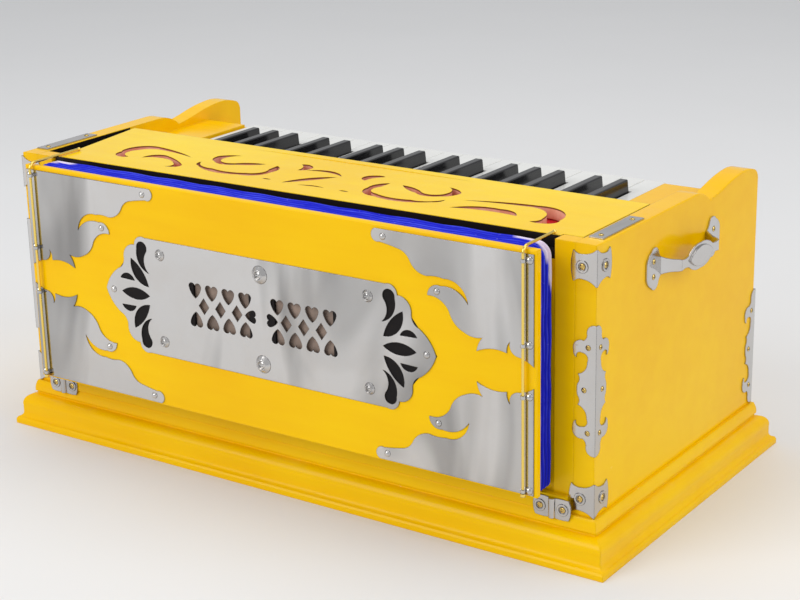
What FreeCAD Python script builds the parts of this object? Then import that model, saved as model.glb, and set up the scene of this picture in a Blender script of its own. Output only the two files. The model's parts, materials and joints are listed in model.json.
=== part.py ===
import FreeCAD, Part
import math
import os
from FreeCAD import Placement, Rotation, Vector

# Indian harmonium with its bellows at the rear. Millimetres, +Z up, the keyboard towards +Y and
# the bellows towards -Y. The origin is the centre of the plinth's underside.

# Driving dimensions. Each one is a cell of the sheet, and every piece is worked out from them.
SIZES = {
    # Case
    "case_width": 613.0,
    "case_depth": 300.0,
    "case_top": 272.0,
    "plinth_height": 43.0,
    "plinth_out": 20.0,
    "plinth_wall": 17.0,
    "plinth_front_wall": 38.0,
    "floor_thick": 12.0,
    "cheek_thick": 19.0,
    "post_width": 18.0,
    "post_depth": 14.0,
    "wall_thick": 12.0,
    "wall_setback": 2.0,
    "rail_height": 15.0,
    "rail_depth": 5.0,
    "air_hole": 26.0,
    "front_thick": 14.0,
    "front_setback": 19.0,
    "front_gap": 7.0,
    "front_drop": 10.0,
    # Lid
    "lid_thick": 10.0,
    "lid_clear": 5.0,
    "lid_gap": 1.2,
    "lid_skew": 22.0,
    "lid_setback": 2.0,
    "lid_taper": 7.0,
    "key_slip": 12.0,
    "slip_clear": 4.5,
    # Keyboard
    "key_pitch": 21.5,
    "key_gap": 0.9,
    "key_drop": 18.0,
    "key_thick": 14.0,
    "key_length": 127.0,
    "black_length": 82.0,
    "black_width": 11.5,
    "black_crown": 8.0,
    "black_rise": 11.0,
    "black_clear": 0.8,
    "lever_width": 8.6,
    "lever_height": 12.0,
    "lever_drop": 9.0,
    "lever_clear": 18.0,
    "pivot_reach": 110.0,
    "stop_rail_reach": 75.0,
    "stop_rail_depth": 14.0,
    "pallet_width": 10.2,
    "pallet_length": 42.0,
    "pallet_thick": 4.0,
    "pallet_inset": 2.0,
    "pallet_seat": 0.2,
    "block_clear": 3.0,
    "block_rise": 2.0,
    "block_short": 12.0,
    # Wind chest
    "pallet_room": 16.0,
    "reed_board_thick": 12.0,
    "reed_slot_width": 5.0,
    "reed_slot_length": 34.0,
    "reed_plate_width": 9.4,
    "reed_plate_thick": 1.6,
    "reservoir_width": 510.0,
    "reservoir_rear": 3.0,
    "reservoir_front": 15.0,
    "reservoir_thick": 10.0,
    "reservoir_seat": 17.0,
    # Bellows
    "board_short": 34.2,
    "board_lift": 21.5,
    "board_drop": 1.0,
    "board_thick": 6.0,
    "bellows_thick": 26.0,
    "bellows_inset": 4.0,
    "bellows_drop": 1.0,
    "bellows_folds": 4,
    "fold_groove": 2.6,
    "soft_clear": 0.3,
    "window_width": 62.0,
    "window_height": 46.0,
    "flap_width": 200.0,
    "flap_height": 62.0,
    "flap_thick": 1.2,
    "flap_recess": 3.6,
    "flap_lift": 1.0,
    # Sheet metal
    "sheet_thick": 1.0,
    "bracket_thick": 1.2,
    "hinge_rise": 4.0,
    "hinge_half": 8.6,
    "washer_radius": 5.2,
    "washer_bore": 3.3,
    "grille_half_width": 179.0,
    "grille_flower": 51.5,
    "heart_pitch": 18.6,
    "grille_half_height": 54.0,
    "corner_inset": 2.3,
    "corner_rise": 2.0,
    "corner_drop": 3.5,
    "nail_inset": 6.2,
    "wire_radius": 1.25,
    "wire_clear": 0.08,
    "wire_inset": 10.2,
    "wire_stand": 3.0,
    "wire_bend": 6.0,
    "wire_arm_left": 65.0,
    "wire_arm_right": 48.0,
    "wire_foot": 2.2,
    "handle_span": 136.0,
    "handle_height": 34.0,
    "handle_rise": 15.0,
    "handle_drop": 44.0,
    "handle_foot": 25.0,
    "handle_slope": 9.0,
    "strap_thick": 1.6,
    # Stops
    "knob_radius": 11.0,
    "knob_length": 15.0,
    "stem_radius": 3.5,
    "stem_clear": 0.08,
    "stop_spacing": 300.0,
    "stop_drop": 122.0,
}

doc = FreeCAD.newDocument("IndianHarmonium")
sheet = doc.addObject("Spreadsheet::Sheet", "sizes")
for row, (alias, value) in enumerate(SIZES.items(), start=1):
    sheet.set("A%d" % row, alias)
    sheet.set("B%d" % row, str(value))
    sheet.setAlias("B%d" % row, alias)
doc.recompute()


def size(alias):
    """The value of one cell of the sheet."""
    return float(sheet.get(alias))


# Levels and planes that several pieces share
half_width = size("case_width") / 2
rear = -size("case_depth") / 2
front = size("case_depth") / 2
cheek_in = half_width - size("cheek_thick")
post_in = cheek_in - size("post_width")
plinth_top = size("plinth_height")
case_top = size("case_top")
wall_front = rear + size("wall_setback")
wall_back = wall_front + size("wall_thick")
lid_bottom = case_top - size("lid_thick")
front_board_back = front - size("front_setback") - size("front_thick")
key_tip = front_board_back - size("front_gap")
key_back = key_tip - size("key_length")
lid_edge = key_back - size("lid_clear")
pack_front = rear - size("bellows_thick")
board_front = pack_front - size("board_thick")
plate_front = board_front - size("sheet_thick")
board_half = half_width - size("board_short")
board_bottom = plinth_top + size("board_lift")
board_top = case_top - size("board_drop")
board_middle = (board_bottom + board_top) / 2
corner_edge = board_half - size("corner_inset")
wire_x = board_half - size("wire_inset")
key_half = 11 * size("key_pitch")
block_width = cheek_in - key_half - size("block_clear")
key_top = case_top - size("key_drop")
lever_top = key_top - size("lever_drop")
lever_bottom = lever_top - size("lever_height")
lever_tail = wall_back + size("lever_clear")
pallet_back = lever_tail + size("pallet_inset")
pivot_line = key_tip - size("pivot_reach")
reed_top = lever_bottom - size("pallet_room")
reed_bottom = reed_top - size("reed_board_thick")
handle_level = case_top - size("handle_drop")
hinge_level = plinth_top + size("rail_height") + 3.0
nodes = {}


def keep(obj, name):
    """Marks a finished sub-part, which is exported under this name."""
    obj.Label = name
    nodes[name] = obj
    return obj


# Helpers for boxes, outlines and pads

def box(name, x, y, z, length, width, height):
    """A Part box whose place and size are expressions on the sheet."""
    obj = doc.addObject("Part::Box", name)
    for prop, rule in (("Length", length), ("Width", width), ("Height", height),
                       ("Placement.Base.x", x), ("Placement.Base.y", y), ("Placement.Base.z", z)):
        obj.setExpression(prop, rule)
    return obj


def fuse(name, shapes):
    obj = doc.addObject("Part::MultiFuse", name)
    obj.Shapes = shapes
    obj.Refine = True
    return obj


def cut(name, base, tool):
    obj = doc.addObject("Part::Cut", name)
    obj.Base = base
    obj.Tool = tool
    return obj


def group(name, shapes):
    """Separate solids that share one node."""
    obj = doc.addObject("Part::Compound", name)
    obj.Links = shapes
    return obj


def draw(sketch, path):
    """Draws a closed outline: a start point, then (x, y) for a line and (xm, ym, x, y) for an arc."""
    here = Vector(path[0][0], path[0][1], 0)
    for step in path[1:]:
        there = Vector(step[-2], step[-1], 0)
        if len(step) == 2:
            sketch.addGeometry(Part.LineSegment(here, there), False)
        else:
            sketch.addGeometry(Part.Arc(here, Vector(step[0], step[1], 0), there), False)
        here = there


def ring(sketch, x, y, radius):
    sketch.addGeometry(Part.Circle(Vector(x, y, 0), Vector(0, 0, 1), radius), False)


def rectangle(x0, y0, x1, y1):
    return [(x0, y0), (x1, y0), (x1, y1), (x0, y1), (x0, y0)]


def mirrored(path):
    """The same outline on the other side of the vertical axis."""
    return [tuple(-c if i % 2 == 0 else c for i, c in enumerate(step)) for step in path]


def shifted(path, dx, dy):
    return [tuple(c + (dx if i % 2 == 0 else dy) for i, c in enumerate(step)) for step in path]


def turned(path):
    """The same outline turned upside down."""
    return [tuple(-c if i % 2 == 1 else c for i, c in enumerate(step)) for step in path]


def backwards(path):
    """The same line drawn from its end to its start."""
    result = [path[-1][-2:]]
    for index in range(len(path) - 1, 0, -1):
        result.append(path[index][:-2] + path[index - 1][-2:])
    return result


def new_body(name):
    return doc.addObject("PartDesign::Body", name)


def new_sketch(body, name, plane, offset, paths, rings=()):
    """A sketch on one of the body's own origin planes, moved along that plane's normal."""
    sketch = body.newObject("Sketcher::SketchObject", name)
    support = [f for f in body.Origin.OriginFeatures if f.Role == plane][0]
    sketch.AttachmentSupport = [(support, "")]
    sketch.MapMode = "FlatFace"
    sketch.AttachmentOffset = Placement(Vector(0, 0, offset), Rotation())
    for path in paths:
        draw(sketch, path)
    for x, y, radius in rings:
        ring(sketch, x, y, radius)
    return sketch


def pad(body, name, sketch, rule):
    """A pad along the sketch's normal, with an expression for its length."""
    feature = body.newObject("PartDesign::Pad", name)
    feature.Profile = sketch
    feature.setExpression("Length", rule)
    sketch.Visibility = False
    body.Tip = feature
    return feature


def pocket(body, name, sketch, rule, toward_normal):
    """A pocket against the sketch's normal, or along it."""
    feature = body.newObject("PartDesign::Pocket", name)
    feature.Profile = sketch
    feature.setExpression("Length", rule)
    feature.Reversed = toward_normal
    body.Tip = feature
    return feature


def round_edges(body, name, radius, chosen):
    """Fillets the edges of the tip that chosen(edge) picks."""
    doc.recompute()
    tip = body.Tip
    names = ["Edge%d" % (i + 1) for i, edge in enumerate(tip.Shape.Edges) if chosen(edge)]
    feature = body.newObject("PartDesign::Fillet", name)
    feature.Base = (tip, names)
    feature.Radius = radius
    body.Tip = feature
    return feature


def slab(name, plane, offset, paths, rule, rings=()):
    """A body that is one padded outline with its holes."""
    body = new_body(name)
    sketch = new_sketch(body, name + "_outline", plane, offset, paths, rings)
    pad(body, name + "_pad", sketch, rule)
    return body


# Plinth and floor: two moulded bars that cross, so the moulding meets in mitres

def moulding():
    """Half of the plinth's section as (projection, level), from the ledge down to the foot."""
    out = size("plinth_out")
    tall = plinth_top
    return [(0.15 * out, tall), (0.23 * out, 0.90 * tall, 0.26 * out, 0.75 * tall),
            (0.19 * out, 0.73 * tall), (0.19 * out, 0.69 * tall), (0.31 * out, 0.68 * tall),
            (0.62 * out, 0.60 * tall, 0.72 * out, 0.42 * tall), (0.72 * out, 0.27 * tall),
            (0.78 * out, 0.19 * tall, 0.94 * out, 0.15 * tall), (out, 0.10 * tall), (out, 0.0)]


def moulded_section(half):
    """The closed section of a bar with the moulding on both of its sides."""
    right = shifted(moulding(), half, 0)
    left = mirrored(right)
    return [left[0]] + right + backwards(left)


def make_base():
    bars = []
    for name, half, other, axis in (("long_bar", size("case_depth") / 2, "case_width", (1, 0, 0)),
                                    ("short_bar", half_width, "case_depth", (0, 1, 0))):
        sketch = doc.addObject("Sketcher::SketchObject", name + "_section")
        if axis[0]:
            sketch.Placement = Placement(Vector(), Rotation(Vector(1, 1, 1), 120))
        else:
            sketch.Placement = Placement(Vector(), Rotation(Vector(1, 0, 0), 90))
        draw(sketch, moulded_section(half))
        bar = doc.addObject("Part::Extrusion", name)
        bar.Base = sketch
        bar.Dir = Vector(*axis)
        bar.setExpression("LengthFwd", "sizes.%s + 4 * sizes.plinth_out" % other)
        bar.Symmetric = True
        bar.Solid = True
        bars.append(bar)
    block = doc.addObject("Part::MultiCommon", "moulded_block")
    block.Shapes = bars
    well = box("reservoir_well", "-sizes.case_width / 2 + sizes.plinth_wall",
               "-sizes.case_depth / 2 + sizes.plinth_wall", "sizes.floor_thick",
               "sizes.case_width - 2 * sizes.plinth_wall",
               "sizes.case_depth - sizes.plinth_wall - sizes.plinth_front_wall",
               "sizes.plinth_height")
    keep(cut("base", block, well), "base")


# Case

def flowing(x, y, heading, points):
    """Arcs through points, each one leaving in the direction in which the last one arrived."""
    steps = []
    for px, py in points:
        chord = math.atan2(py - y, px - x)
        sag = math.hypot(px - x, py - y) / 2 * math.tan((chord - heading) / 2)
        steps.append(((x + px) / 2 + sag * math.sin(chord), (y + py) / 2 - sag * math.cos(chord), px, py))
        heading = 2 * chord - heading
        x, y = px, py
    return steps, heading


def cheek_outline():
    """The cheek seen from the side, with its scroll at the player's end."""
    fall, _ = flowing(23, case_top, 0, [(51, case_top - 11.0)])
    brow = (143, case_top - 4.5)
    rise, heading = flowing(51, case_top - 11.0, math.radians(6),
                            [(80, case_top - 6.0), (118, case_top - 0.7), brow])
    radius = (front - brow[0]) / (1 + math.sin(heading))
    nose, _ = flowing(brow[0], brow[1], heading, [(front, brow[1] - radius * math.cos(heading))])
    return [(rear, plinth_top), (rear, case_top), (23, case_top)] + fall + rise + nose + [
        (front, plinth_top), (rear, plinth_top)]


def make_cheek(name, side):
    inner = cheek_in if side > 0 else -half_width
    body = new_body(name)
    panel = new_sketch(body, name + "_side", "YZ_Plane", inner, [cheek_outline()])
    pad(body, name + "_panel", panel, "sizes.cheek_thick")
    left = cheek_in - block_width if side > 0 else -cheek_in
    plan = rectangle(left, lid_edge + 2.0, left + block_width, key_tip - size("block_short"))
    block = new_sketch(body, name + "_block_plan", "XY_Plane", reed_top, [plan])
    pad(body, name + "_block", block,
        "sizes.block_rise + sizes.lever_drop + sizes.lever_height + sizes.pallet_room")
    outer = side * half_width

    def crest(edge):
        middle = edge.CenterOfMass
        on_outer = abs(edge.BoundBox.XMin - outer) < 0.01 and abs(edge.BoundBox.XMax - outer) < 0.01
        return on_outer and middle.z > case_top - 20.0
    round_edges(body, name + "_soft_edge", 1.2, crest)
    keep(body, name)


def stop_place(side):
    """A stop's x and level."""
    return side * size("stop_spacing") / 2, case_top - size("stop_drop")


def make_front_board():
    body = new_body("front_board")
    bore = size("stem_radius") + size("stem_clear")
    sketch = new_sketch(body, "front_outline", "XZ_Plane", -front_board_back,
                        [rectangle(-cheek_in, plinth_top, cheek_in, key_top - size("front_drop"))],
                        [stop_place(side) + (bore,) for side in (-1, 1)])
    feature = pad(body, "front_pad", sketch, "sizes.front_thick")
    feature.Reversed = True
    keep(body, "front_board")


def make_rear_frame():
    """The fixed board behind the bellows with its two posts, its rail and the reservoir's cleat."""
    wall = slab("rear_wall", "XZ_Plane", -wall_back, [rectangle(-cheek_in, plinth_top, cheek_in, lid_bottom)],
                "sizes.wall_thick",
                [(x, plinth_top + 60.0, size("air_hole") / 2) for x in (-150.0, -50.0, 50.0, 150.0)])
    pieces = [wall]
    for side, start in (("left", "-sizes.case_width / 2 + sizes.cheek_thick"),
                        ("right", "sizes.case_width / 2 - sizes.cheek_thick - sizes.post_width")):
        pieces.append(box("post_" + side, start, "-sizes.case_depth / 2", "sizes.plinth_height",
                          "sizes.post_width", "sizes.post_depth", "sizes.case_top - sizes.plinth_height"))
    rail_half = "(sizes.case_width / 2 - sizes.cheek_thick - 3.5)"
    pieces.append(box("foot_rail", "-" + rail_half, "-sizes.case_depth / 2 - sizes.rail_depth",
                      "sizes.plinth_height", "2 * " + rail_half,
                      "sizes.rail_depth + sizes.wall_setback", "sizes.rail_height"))
    pieces.append(box("reservoir_cleat", "-sizes.reservoir_width / 2",
                      "-sizes.case_depth / 2 + sizes.wall_setback + sizes.wall_thick",
                      "sizes.plinth_height", "sizes.reservoir_width", "12",
                      "sizes.reservoir_seat - sizes.soft_clear"))
    keep(fuse("rear_frame", pieces), "rear_frame")


# Lid with its fretwork

def crescent(x0, y0, xm, ym, x1, y1, belly):
    """A sickle between two points: its outer arc passes (xm, ym), its inner one lies belly inside."""
    middle = Vector((x0 + x1) / 2, (y0 + y1) / 2, 0)
    lean = Vector(xm, ym, 0) - middle
    inner = Vector(xm, ym, 0) - lean.normalize() * belly
    return [(x0, y0), (xm, ym, x1, y1), (inner.x, inner.y, x0, y0)]


def lens(x, y, half_length, half_width):
    """A pointed leaf lying along x."""
    return [(x - half_length, y), (x, y + half_width, x + half_length, y),
            (x, y - half_width, x - half_length, y)]


def fretwork():
    """The lid's cut-outs: paired scrolls and commas, the two wings and the leaves in the middle."""
    paired = [
        [(62, -74), (53, -84, 53, -95), (57, -109, 74, -116), (104, -119, 127, -108),
         (133, -102, 133, -96), (124, -107, 108, -110.5), (88, -113, 70, -108), (60, -100, 61, -88),
         (62, -74)],
        [(75, -74), (88, -76.5, 100, -83.5), (112, -88, 121, -83), (123, -72, 114, -60), (126, -64, 133, -71),
         (131, -82, 123, -89), (112, -94, 99, -89.5), (86, -83.5, 75, -74)],
        [(37, -77), (29, -68, 36, -58), (41, -56.5, 46, -58.5), (39, -66, 37, -77)],
        lens(42, -115.5, 5, 1.2),
    ]
    wings = [
        [(147, -89.5), (180, -78, 210, -73), (238, -80, 247, -103), (246, -114, 240, -117),
         (233, -118.5, 227, -117), (232, -112, 232, -104), (226, -88, 203, -79.5), (176, -83, 147, -89.5)],
        [(149, -114), (164, -101.5, 188, -97.5), (202, -99.5, 210, -109), (180, -107.5, 149, -114)],
        [(-151, -88), (-180, -76.5, -208, -71), (-226, -82, -225, -103), (-221, -115, -212, -118),
         (-208, -117, -206, -114), (-218, -104, -215, -90), (-208, -81.5, -196, -79),
         (-172, -82.5, -151, -88)],
        [(-192, -111), (-189, -98, -178, -93.5), (-158, -102, -142, -113), (-140, -120, -144, -124),
         (-152, -126), (-148, -119, -152, -113), (-170, -103.5, -180, -104), (-187, -106, -192, -111)],
    ]
    middle = [
        crescent(-29, -74, -8, -65.5, 11, -76, 5),
        [(9, -80), (-6, -101.5, -23, -119), (-11.5, -95.5, 9, -80)],
        crescent(-6, -118.5, 8, -113.5, 21, -115.5, 2.5),
    ]
    return paired + [mirrored(path) for path in paired] + wings + middle


def make_lid():
    body = new_body("lid")
    edge = cheek_in - size("lid_gap")
    back = wall_front + size("lid_setback")
    behind = rear + size("post_depth") + size("lid_gap")
    inside = post_in - size("lid_gap")
    skew = size("lid_skew")
    plan = [(-inside, back), (inside, back + size("lid_taper")), (inside, behind), (edge, behind),
            (edge, lid_edge), (-edge + 5.0, lid_edge), (-edge + skew, behind), (-inside, behind),
            (-inside, back)]
    top = new_sketch(body, "lid_plan", "XY_Plane", lid_bottom, [plan] + fretwork())
    pad(body, "lid_board", top, "sizes.lid_thick")
    slip_half = cheek_in - block_width
    slip = new_sketch(body, "lid_slip_plan", "XY_Plane", lever_top + size("slip_clear"),
                      [rectangle(-slip_half, lid_edge - size("key_slip"), slip_half, lid_edge)])
    pad(body, "lid_slip", slip, "sizes.key_drop + sizes.lever_drop - sizes.lid_thick - sizes.slip_clear")
    groove = new_sketch(body, "lid_groove_plan", "XY_Plane", case_top,
                        [lens(0, lid_edge - 11.0, 123, 1.6)])
    pocket(body, "lid_groove", groove, "1.2", False)
    keep(body, "lid")


# Keyboard. Notes rise from the player's left, which is +X, so x falls as the notes rise.

BLACK_AFTER = {0: -2.0, 1: 2.0, 3: -3.0, 4: 0.0, 5: 3.0}
WHITE_NAMES = ["c", "d", "e", "f", "g", "a", "b"]
OCTAVES = 3


def black_centre(octave, step):
    """Distance of a black key's middle from the bass end, or None where there is no black key."""
    if octave < 0 or octave >= OCTAVES or step not in BLACK_AFTER:
        return None
    return (octave * 7 + step + 1) * size("key_pitch") + BLACK_AFTER[step]


def white_tail(octave, step):
    """Both edges of the narrow part of a white key, from the bass end."""
    pitch = size("key_pitch")
    gap = size("key_gap") / 2
    reach = size("black_width") / 2 + size("black_clear")
    low = (octave * 7 + step) * pitch + gap
    high = low + pitch - 2 * gap
    before = black_centre(octave, step - 1) if step > 0 else None
    after = black_centre(octave, step)
    if before is not None:
        low = before + reach
    if after is not None:
        high = after - reach
    return low, high


def lever_outline(bar_end):
    """Side view of a lever: pallet at the rear, riser, and the bar that runs under the key."""
    foot = reed_top + size("pallet_seat")
    pallet_front = pallet_back + size("pallet_length")
    return [(lever_tail, lever_bottom), (pallet_back, foot + 6.0), (pallet_back, foot),
            (pallet_front, foot), (pallet_front, foot + size("pallet_thick")),
            (pallet_front + 6.0, lever_bottom), (bar_end, lever_bottom),
            (bar_end, lever_top), (lever_tail, lever_top), (lever_tail, lever_bottom)]


def add_lever(body, name, centre, bar_end):
    side = new_sketch(body, name + "_side", "YZ_Plane", centre - size("lever_width") / 2,
                      [lever_outline(bar_end)])
    pad(body, name + "_lever", side, "sizes.lever_width")


def add_pallet(body, name, centre):
    half = size("pallet_width") / 2
    plan = new_sketch(body, name + "_pallet_plan", "XY_Plane", reed_top + size("pallet_seat"),
                      [rectangle(centre - half, pallet_back,
                                 centre + half, pallet_back + size("pallet_length"))])
    pad(body, name + "_pallet", plan, "sizes.pallet_thick")


def make_white_key(name, octave, step):
    pitch = size("key_pitch")
    gap = size("key_gap") / 2
    index = octave * 7 + step
    low, high = white_tail(octave, step)
    left = key_half - high
    right = key_half - low
    head_left = key_half - (index + 1) * pitch + gap
    head_right = key_half - index * pitch - gap
    tip = key_tip
    neck = key_back + size("black_length") + 1.2
    turn = 2.6
    nick = turn * (1 - math.sqrt(0.5))
    plan = [(left, key_back), (right, key_back)]
    if right < head_right - 0.01:
        plan += [(right, neck), (head_right, neck)]
    plan += [(head_right, tip - turn), (head_right - nick, tip - nick, head_right - turn, tip),
             (head_left + turn, tip), (head_left + nick, tip - nick, head_left, tip - turn)]
    if left > head_left + 0.01:
        plan += [(head_left, neck), (left, neck)]
    plan += [(left, key_back)]
    body = new_body(name)
    cap = new_sketch(body, name + "_plan", "XY_Plane", key_top - size("key_thick"), [plan])
    pad(body, name + "_cap", cap, "sizes.key_thick")

    def upper(edge):
        return edge.BoundBox.ZMin > key_top - 0.01
    round_edges(body, name + "_soft_top", 0.8, upper)
    centre = (left + right) / 2
    add_lever(body, name, centre, tip - 6.0)
    add_pallet(body, name, centre)
    keep(body, name)


def make_black_key(name, octave, step):
    centre = key_half - black_centre(octave, step)
    back = key_back + 2.0
    tip = back + size("black_length") - 2.0
    body = new_body(name)
    wedge = body.newObject("PartDesign::AdditiveWedge", name + "_cap")
    half = size("black_width") / 2
    crown = size("black_crown") / 2
    foot = lever_top - 3.0
    rise = key_top + size("black_rise") - foot
    wedge.Xmin, wedge.Xmax = -half, half
    wedge.X2min, wedge.X2max = -crown, crown
    wedge.Ymin, wedge.Ymax = 0, rise
    wedge.Zmin, wedge.Zmax = 0, tip - back
    wedge.Z2min, wedge.Z2max = 0.8, tip - back - 9.0
    support = [f for f in body.Origin.OriginFeatures if f.Role == "XY_Plane"][0]
    wedge.AttachmentSupport = [(support, "")]
    wedge.MapMode = "FlatFace"
    wedge.AttachmentOffset = Placement(Vector(centre, tip, foot), Rotation(Vector(1, 0, 0), 90))
    body.Tip = wedge

    def crown_edge(edge):
        return edge.BoundBox.ZMax > foot + rise - 0.01
    round_edges(body, name + "_soft_top", 1.3, crown_edge)
    add_lever(body, name, centre, tip - 2.0)
    add_pallet(body, name, centre)
    keep(body, name)


def make_keys():
    for octave in range(OCTAVES):
        for step, note in enumerate(WHITE_NAMES):
            make_white_key("key_%s%d" % (note, octave + 3), octave, step)
            if step in BLACK_AFTER:
                make_black_key("key_%s_sharp%d" % (note, octave + 3), octave, step)
    make_white_key("key_c%d" % (OCTAVES + 3), OCTAVES, 0)


def key_centres():
    """The middle of every lever, from the bass end up."""
    centres = []
    for octave in range(OCTAVES):
        for step in range(7):
            low, high = white_tail(octave, step)
            centres.append(key_half - (low + high) / 2)
            if step in BLACK_AFTER:
                centres.append(key_half - black_centre(octave, step))
    low, high = white_tail(OCTAVES, 0)
    centres.append(key_half - (low + high) / 2)
    return centres


# Wind chest

def make_reed_board():
    start = pallet_back + (size("pallet_length") - size("reed_slot_length")) / 2
    half = size("reed_slot_width") / 2
    slots = [rectangle(x - half, start, x + half, start + size("reed_slot_length")) for x in key_centres()]
    plan = rectangle(-cheek_in, wall_back, cheek_in, front_board_back)
    keep(slab("reed_board", "XY_Plane", reed_bottom, [plan] + slots, "sizes.reed_board_thick"), "reed_board")


def make_reeds():
    """One brass plate under each slot, with its tongue bent a little away from it."""
    long_side = size("pallet_length") + 2.0
    start = pallet_back - 1.0
    half = size("reed_plate_width") / 2
    thick = size("reed_plate_thick")
    solids = []
    for x in key_centres():
        plate = Part.makeBox(2 * half, long_side, thick, Vector(x - half, start, reed_bottom - thick))
        slot = Part.makeBox(3.2, long_side - 12.0, thick + 2,
                            Vector(x - 1.6, start + 6.0, reed_bottom - thick - 1))
        tongue = Part.makePolygon([Vector(x - 1.3, start + 3.0, reed_bottom - thick),
                                   Vector(x - 1.3, start + long_side - 8.0, reed_bottom - thick - 1.4),
                                   Vector(x - 1.3, start + long_side - 8.0, reed_bottom - thick - 1.0),
                                   Vector(x - 1.3, start + 9.0, reed_bottom - thick + 0.2),
                                   Vector(x - 1.3, start + 3.0, reed_bottom - thick + 0.2),
                                   Vector(x - 1.3, start + 3.0, reed_bottom - thick)])
        blade = Part.Face(tongue).extrude(Vector(2.6, 0, 0))
        solids.append(plate.cut(slot).fuse(blade).removeSplitter())
    obj = doc.addObject("Part::Feature", "reeds")
    obj.Shape = Part.makeCompound([solid for shape in solids for solid in shape.Solids])
    keep(obj, "reeds")


def make_key_rail():
    """The balance rail that the levers rock on, and the felted rail that stops the keys' fronts."""
    half = key_half + 1.0
    length = "22 * sizes.key_pitch + 2"
    crest = lever_bottom - 0.2
    ridge = [(-7, reed_top), (7, reed_top), (7, crest - 2.8), (1.2, crest - 0.05),
             (0, crest, -1.2, crest - 0.05), (-7, crest - 2.8), (-7, reed_top)]
    balance = slab("balance_rail", "YZ_Plane", -half, [shifted(ridge, pivot_line, 0)], length)
    rear_side = key_tip - size("stop_rail_reach")
    front_side = rear_side + size("stop_rail_depth")
    stop = slab("stop_rail", "YZ_Plane", -half,
                [rectangle(rear_side, reed_top, front_side, lever_bottom - 4.2)], length)
    keep(group("key_rail", [balance, stop]), "key_rail")


def make_reservoir():
    keep(box("reservoir_board", "-sizes.reservoir_width / 2",
             "-sizes.case_depth / 2 + sizes.wall_setback + sizes.wall_thick + sizes.reservoir_rear",
             "sizes.plinth_height + sizes.reservoir_seat", "sizes.reservoir_width",
             "sizes.case_depth - sizes.wall_setback - sizes.wall_thick - sizes.reservoir_rear"
             " - sizes.front_setback - sizes.front_thick - sizes.reservoir_front",
             "sizes.reservoir_thick"), "reservoir_board")


# Bellows

def make_bellows_board():
    body = new_body("bellows_board")
    half = board_half
    centre = board_middle + size("flap_lift")
    windows = []
    for side in (-1, 1):
        left = side * 45.0 - size("window_width") / 2
        windows.append(rectangle(left, centre - size("window_height") / 2,
                                 left + size("window_width"), centre + size("window_height") / 2))
    outline = rectangle(-half, board_bottom, half, board_top)
    face = new_sketch(body, "board_outline", "XZ_Plane", -pack_front, [outline] + windows)
    pad(body, "board_pad", face, "sizes.board_thick")
    deep = size("flap_width") / 2 + 3.0
    recess = new_sketch(body, "board_recess_outline", "XZ_Plane", -pack_front,
                        [rectangle(-deep, centre - size("flap_height") / 2 - 3.0,
                                   deep, centre + size("flap_height") / 2 + 3.0)])
    pocket(body, "board_recess", recess, "sizes.flap_recess", True)

    def rim(edge):
        on_face = edge.BoundBox.YMax < board_front + 0.01
        low = board_middle - 60.0
        inside = abs(edge.CenterOfMass.x) < half - 5.0 and low < edge.CenterOfMass.z < low + 120.0
        return on_face and not inside
    round_edges(body, "board_soft_rim", 1.6, rim)
    keep(body, "bellows_board")


def zigzag(near, far, level, tip, count):
    """The V grooves between the folds along one side: points from near to far."""
    step = (far - near) / count
    points = []
    for index in range(count):
        points.append((near + index * step, level))
        points.append((near + (index + 0.5) * step, tip))
    points.append((far, level))
    return points


def make_bellows_folds():
    """The closed pack of cloth folds, grooved between the folds along its sides and its top."""
    clear = size("soft_clear")
    near = rear - clear
    far = pack_front + clear
    half = board_half - size("bellows_inset")
    low = hinge_level + 1.0
    high = board_top - size("bellows_drop")
    groove = size("fold_groove")
    count = int(size("bellows_folds"))
    side_path = zigzag(near, far, high - groove, high, count)
    side_path += [(far, low), (near, low), (near, high - groove)]
    side = doc.addObject("Sketcher::SketchObject", "folds_side")
    side.Placement = Placement(Vector(), Rotation(Vector(1, 1, 1), 120))
    draw(side, side_path)
    right = [(x, y) for y, x in zigzag(near, far, half - groove, half, count)]
    left = [(-x, y) for x, y in reversed(right)]
    plan = doc.addObject("Sketcher::SketchObject", "folds_plan")
    draw(plan, right + left + [right[0]])
    along = doc.addObject("Part::Extrusion", "folds_along")
    along.Base = side
    along.Dir = Vector(1, 0, 0)
    along.setExpression("LengthFwd", "sizes.case_width")
    along.Symmetric = True
    along.Solid = True
    upward = doc.addObject("Part::Extrusion", "folds_upward")
    upward.Base = plan
    upward.Dir = Vector(0, 0, 1)
    upward.setExpression("LengthFwd", "sizes.case_top")
    upward.Solid = True
    pack = doc.addObject("Part::MultiCommon", "bellows_folds")
    pack.Shapes = [along, upward]
    keep(pack, "bellows_folds")


def make_intake_flap():
    centre = board_middle + size("flap_lift")
    half = size("flap_width") / 2
    face = board_front + size("board_thick") - size("flap_recess") + 0.1
    body = slab("intake_flap", "XZ_Plane", -face,
                [rectangle(-half, centre - size("flap_height") / 2, half, centre + size("flap_height") / 2)],
                "sizes.flap_thick")
    body.Tip.Reversed = True
    keep(body, "intake_flap")


# Sheet metal on the bellows board

def heart(x, z, point):
    """A heart whose tip points down (-1) or up (+1)."""
    half = [(0, -7.4), (5.2, -1.8, 7.0, 3.0), (3.6, 6.6, 0, 4.2)]
    shape = half + backwards(mirrored(half))[1:]
    return shifted(shape if point < 0 else turned(shape), x, z)


def side_heart(x, z, small):
    """A smaller heart that lies on its side, with its tip towards +X."""
    lying = []
    for step in heart(0, 0, -1):
        quarter = []
        for index in range(0, len(step), 2):
            quarter += [-small * step[index + 1], small * step[index]]
        lying.append(tuple(quarter))
    return shifted(lying, x, z)


def diamond(x, z, half_x, half_z):
    return [(x - half_x, z), (x, z - half_z), (x + half_x, z), (x, z + half_z), (x - half_x, z)]


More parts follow.
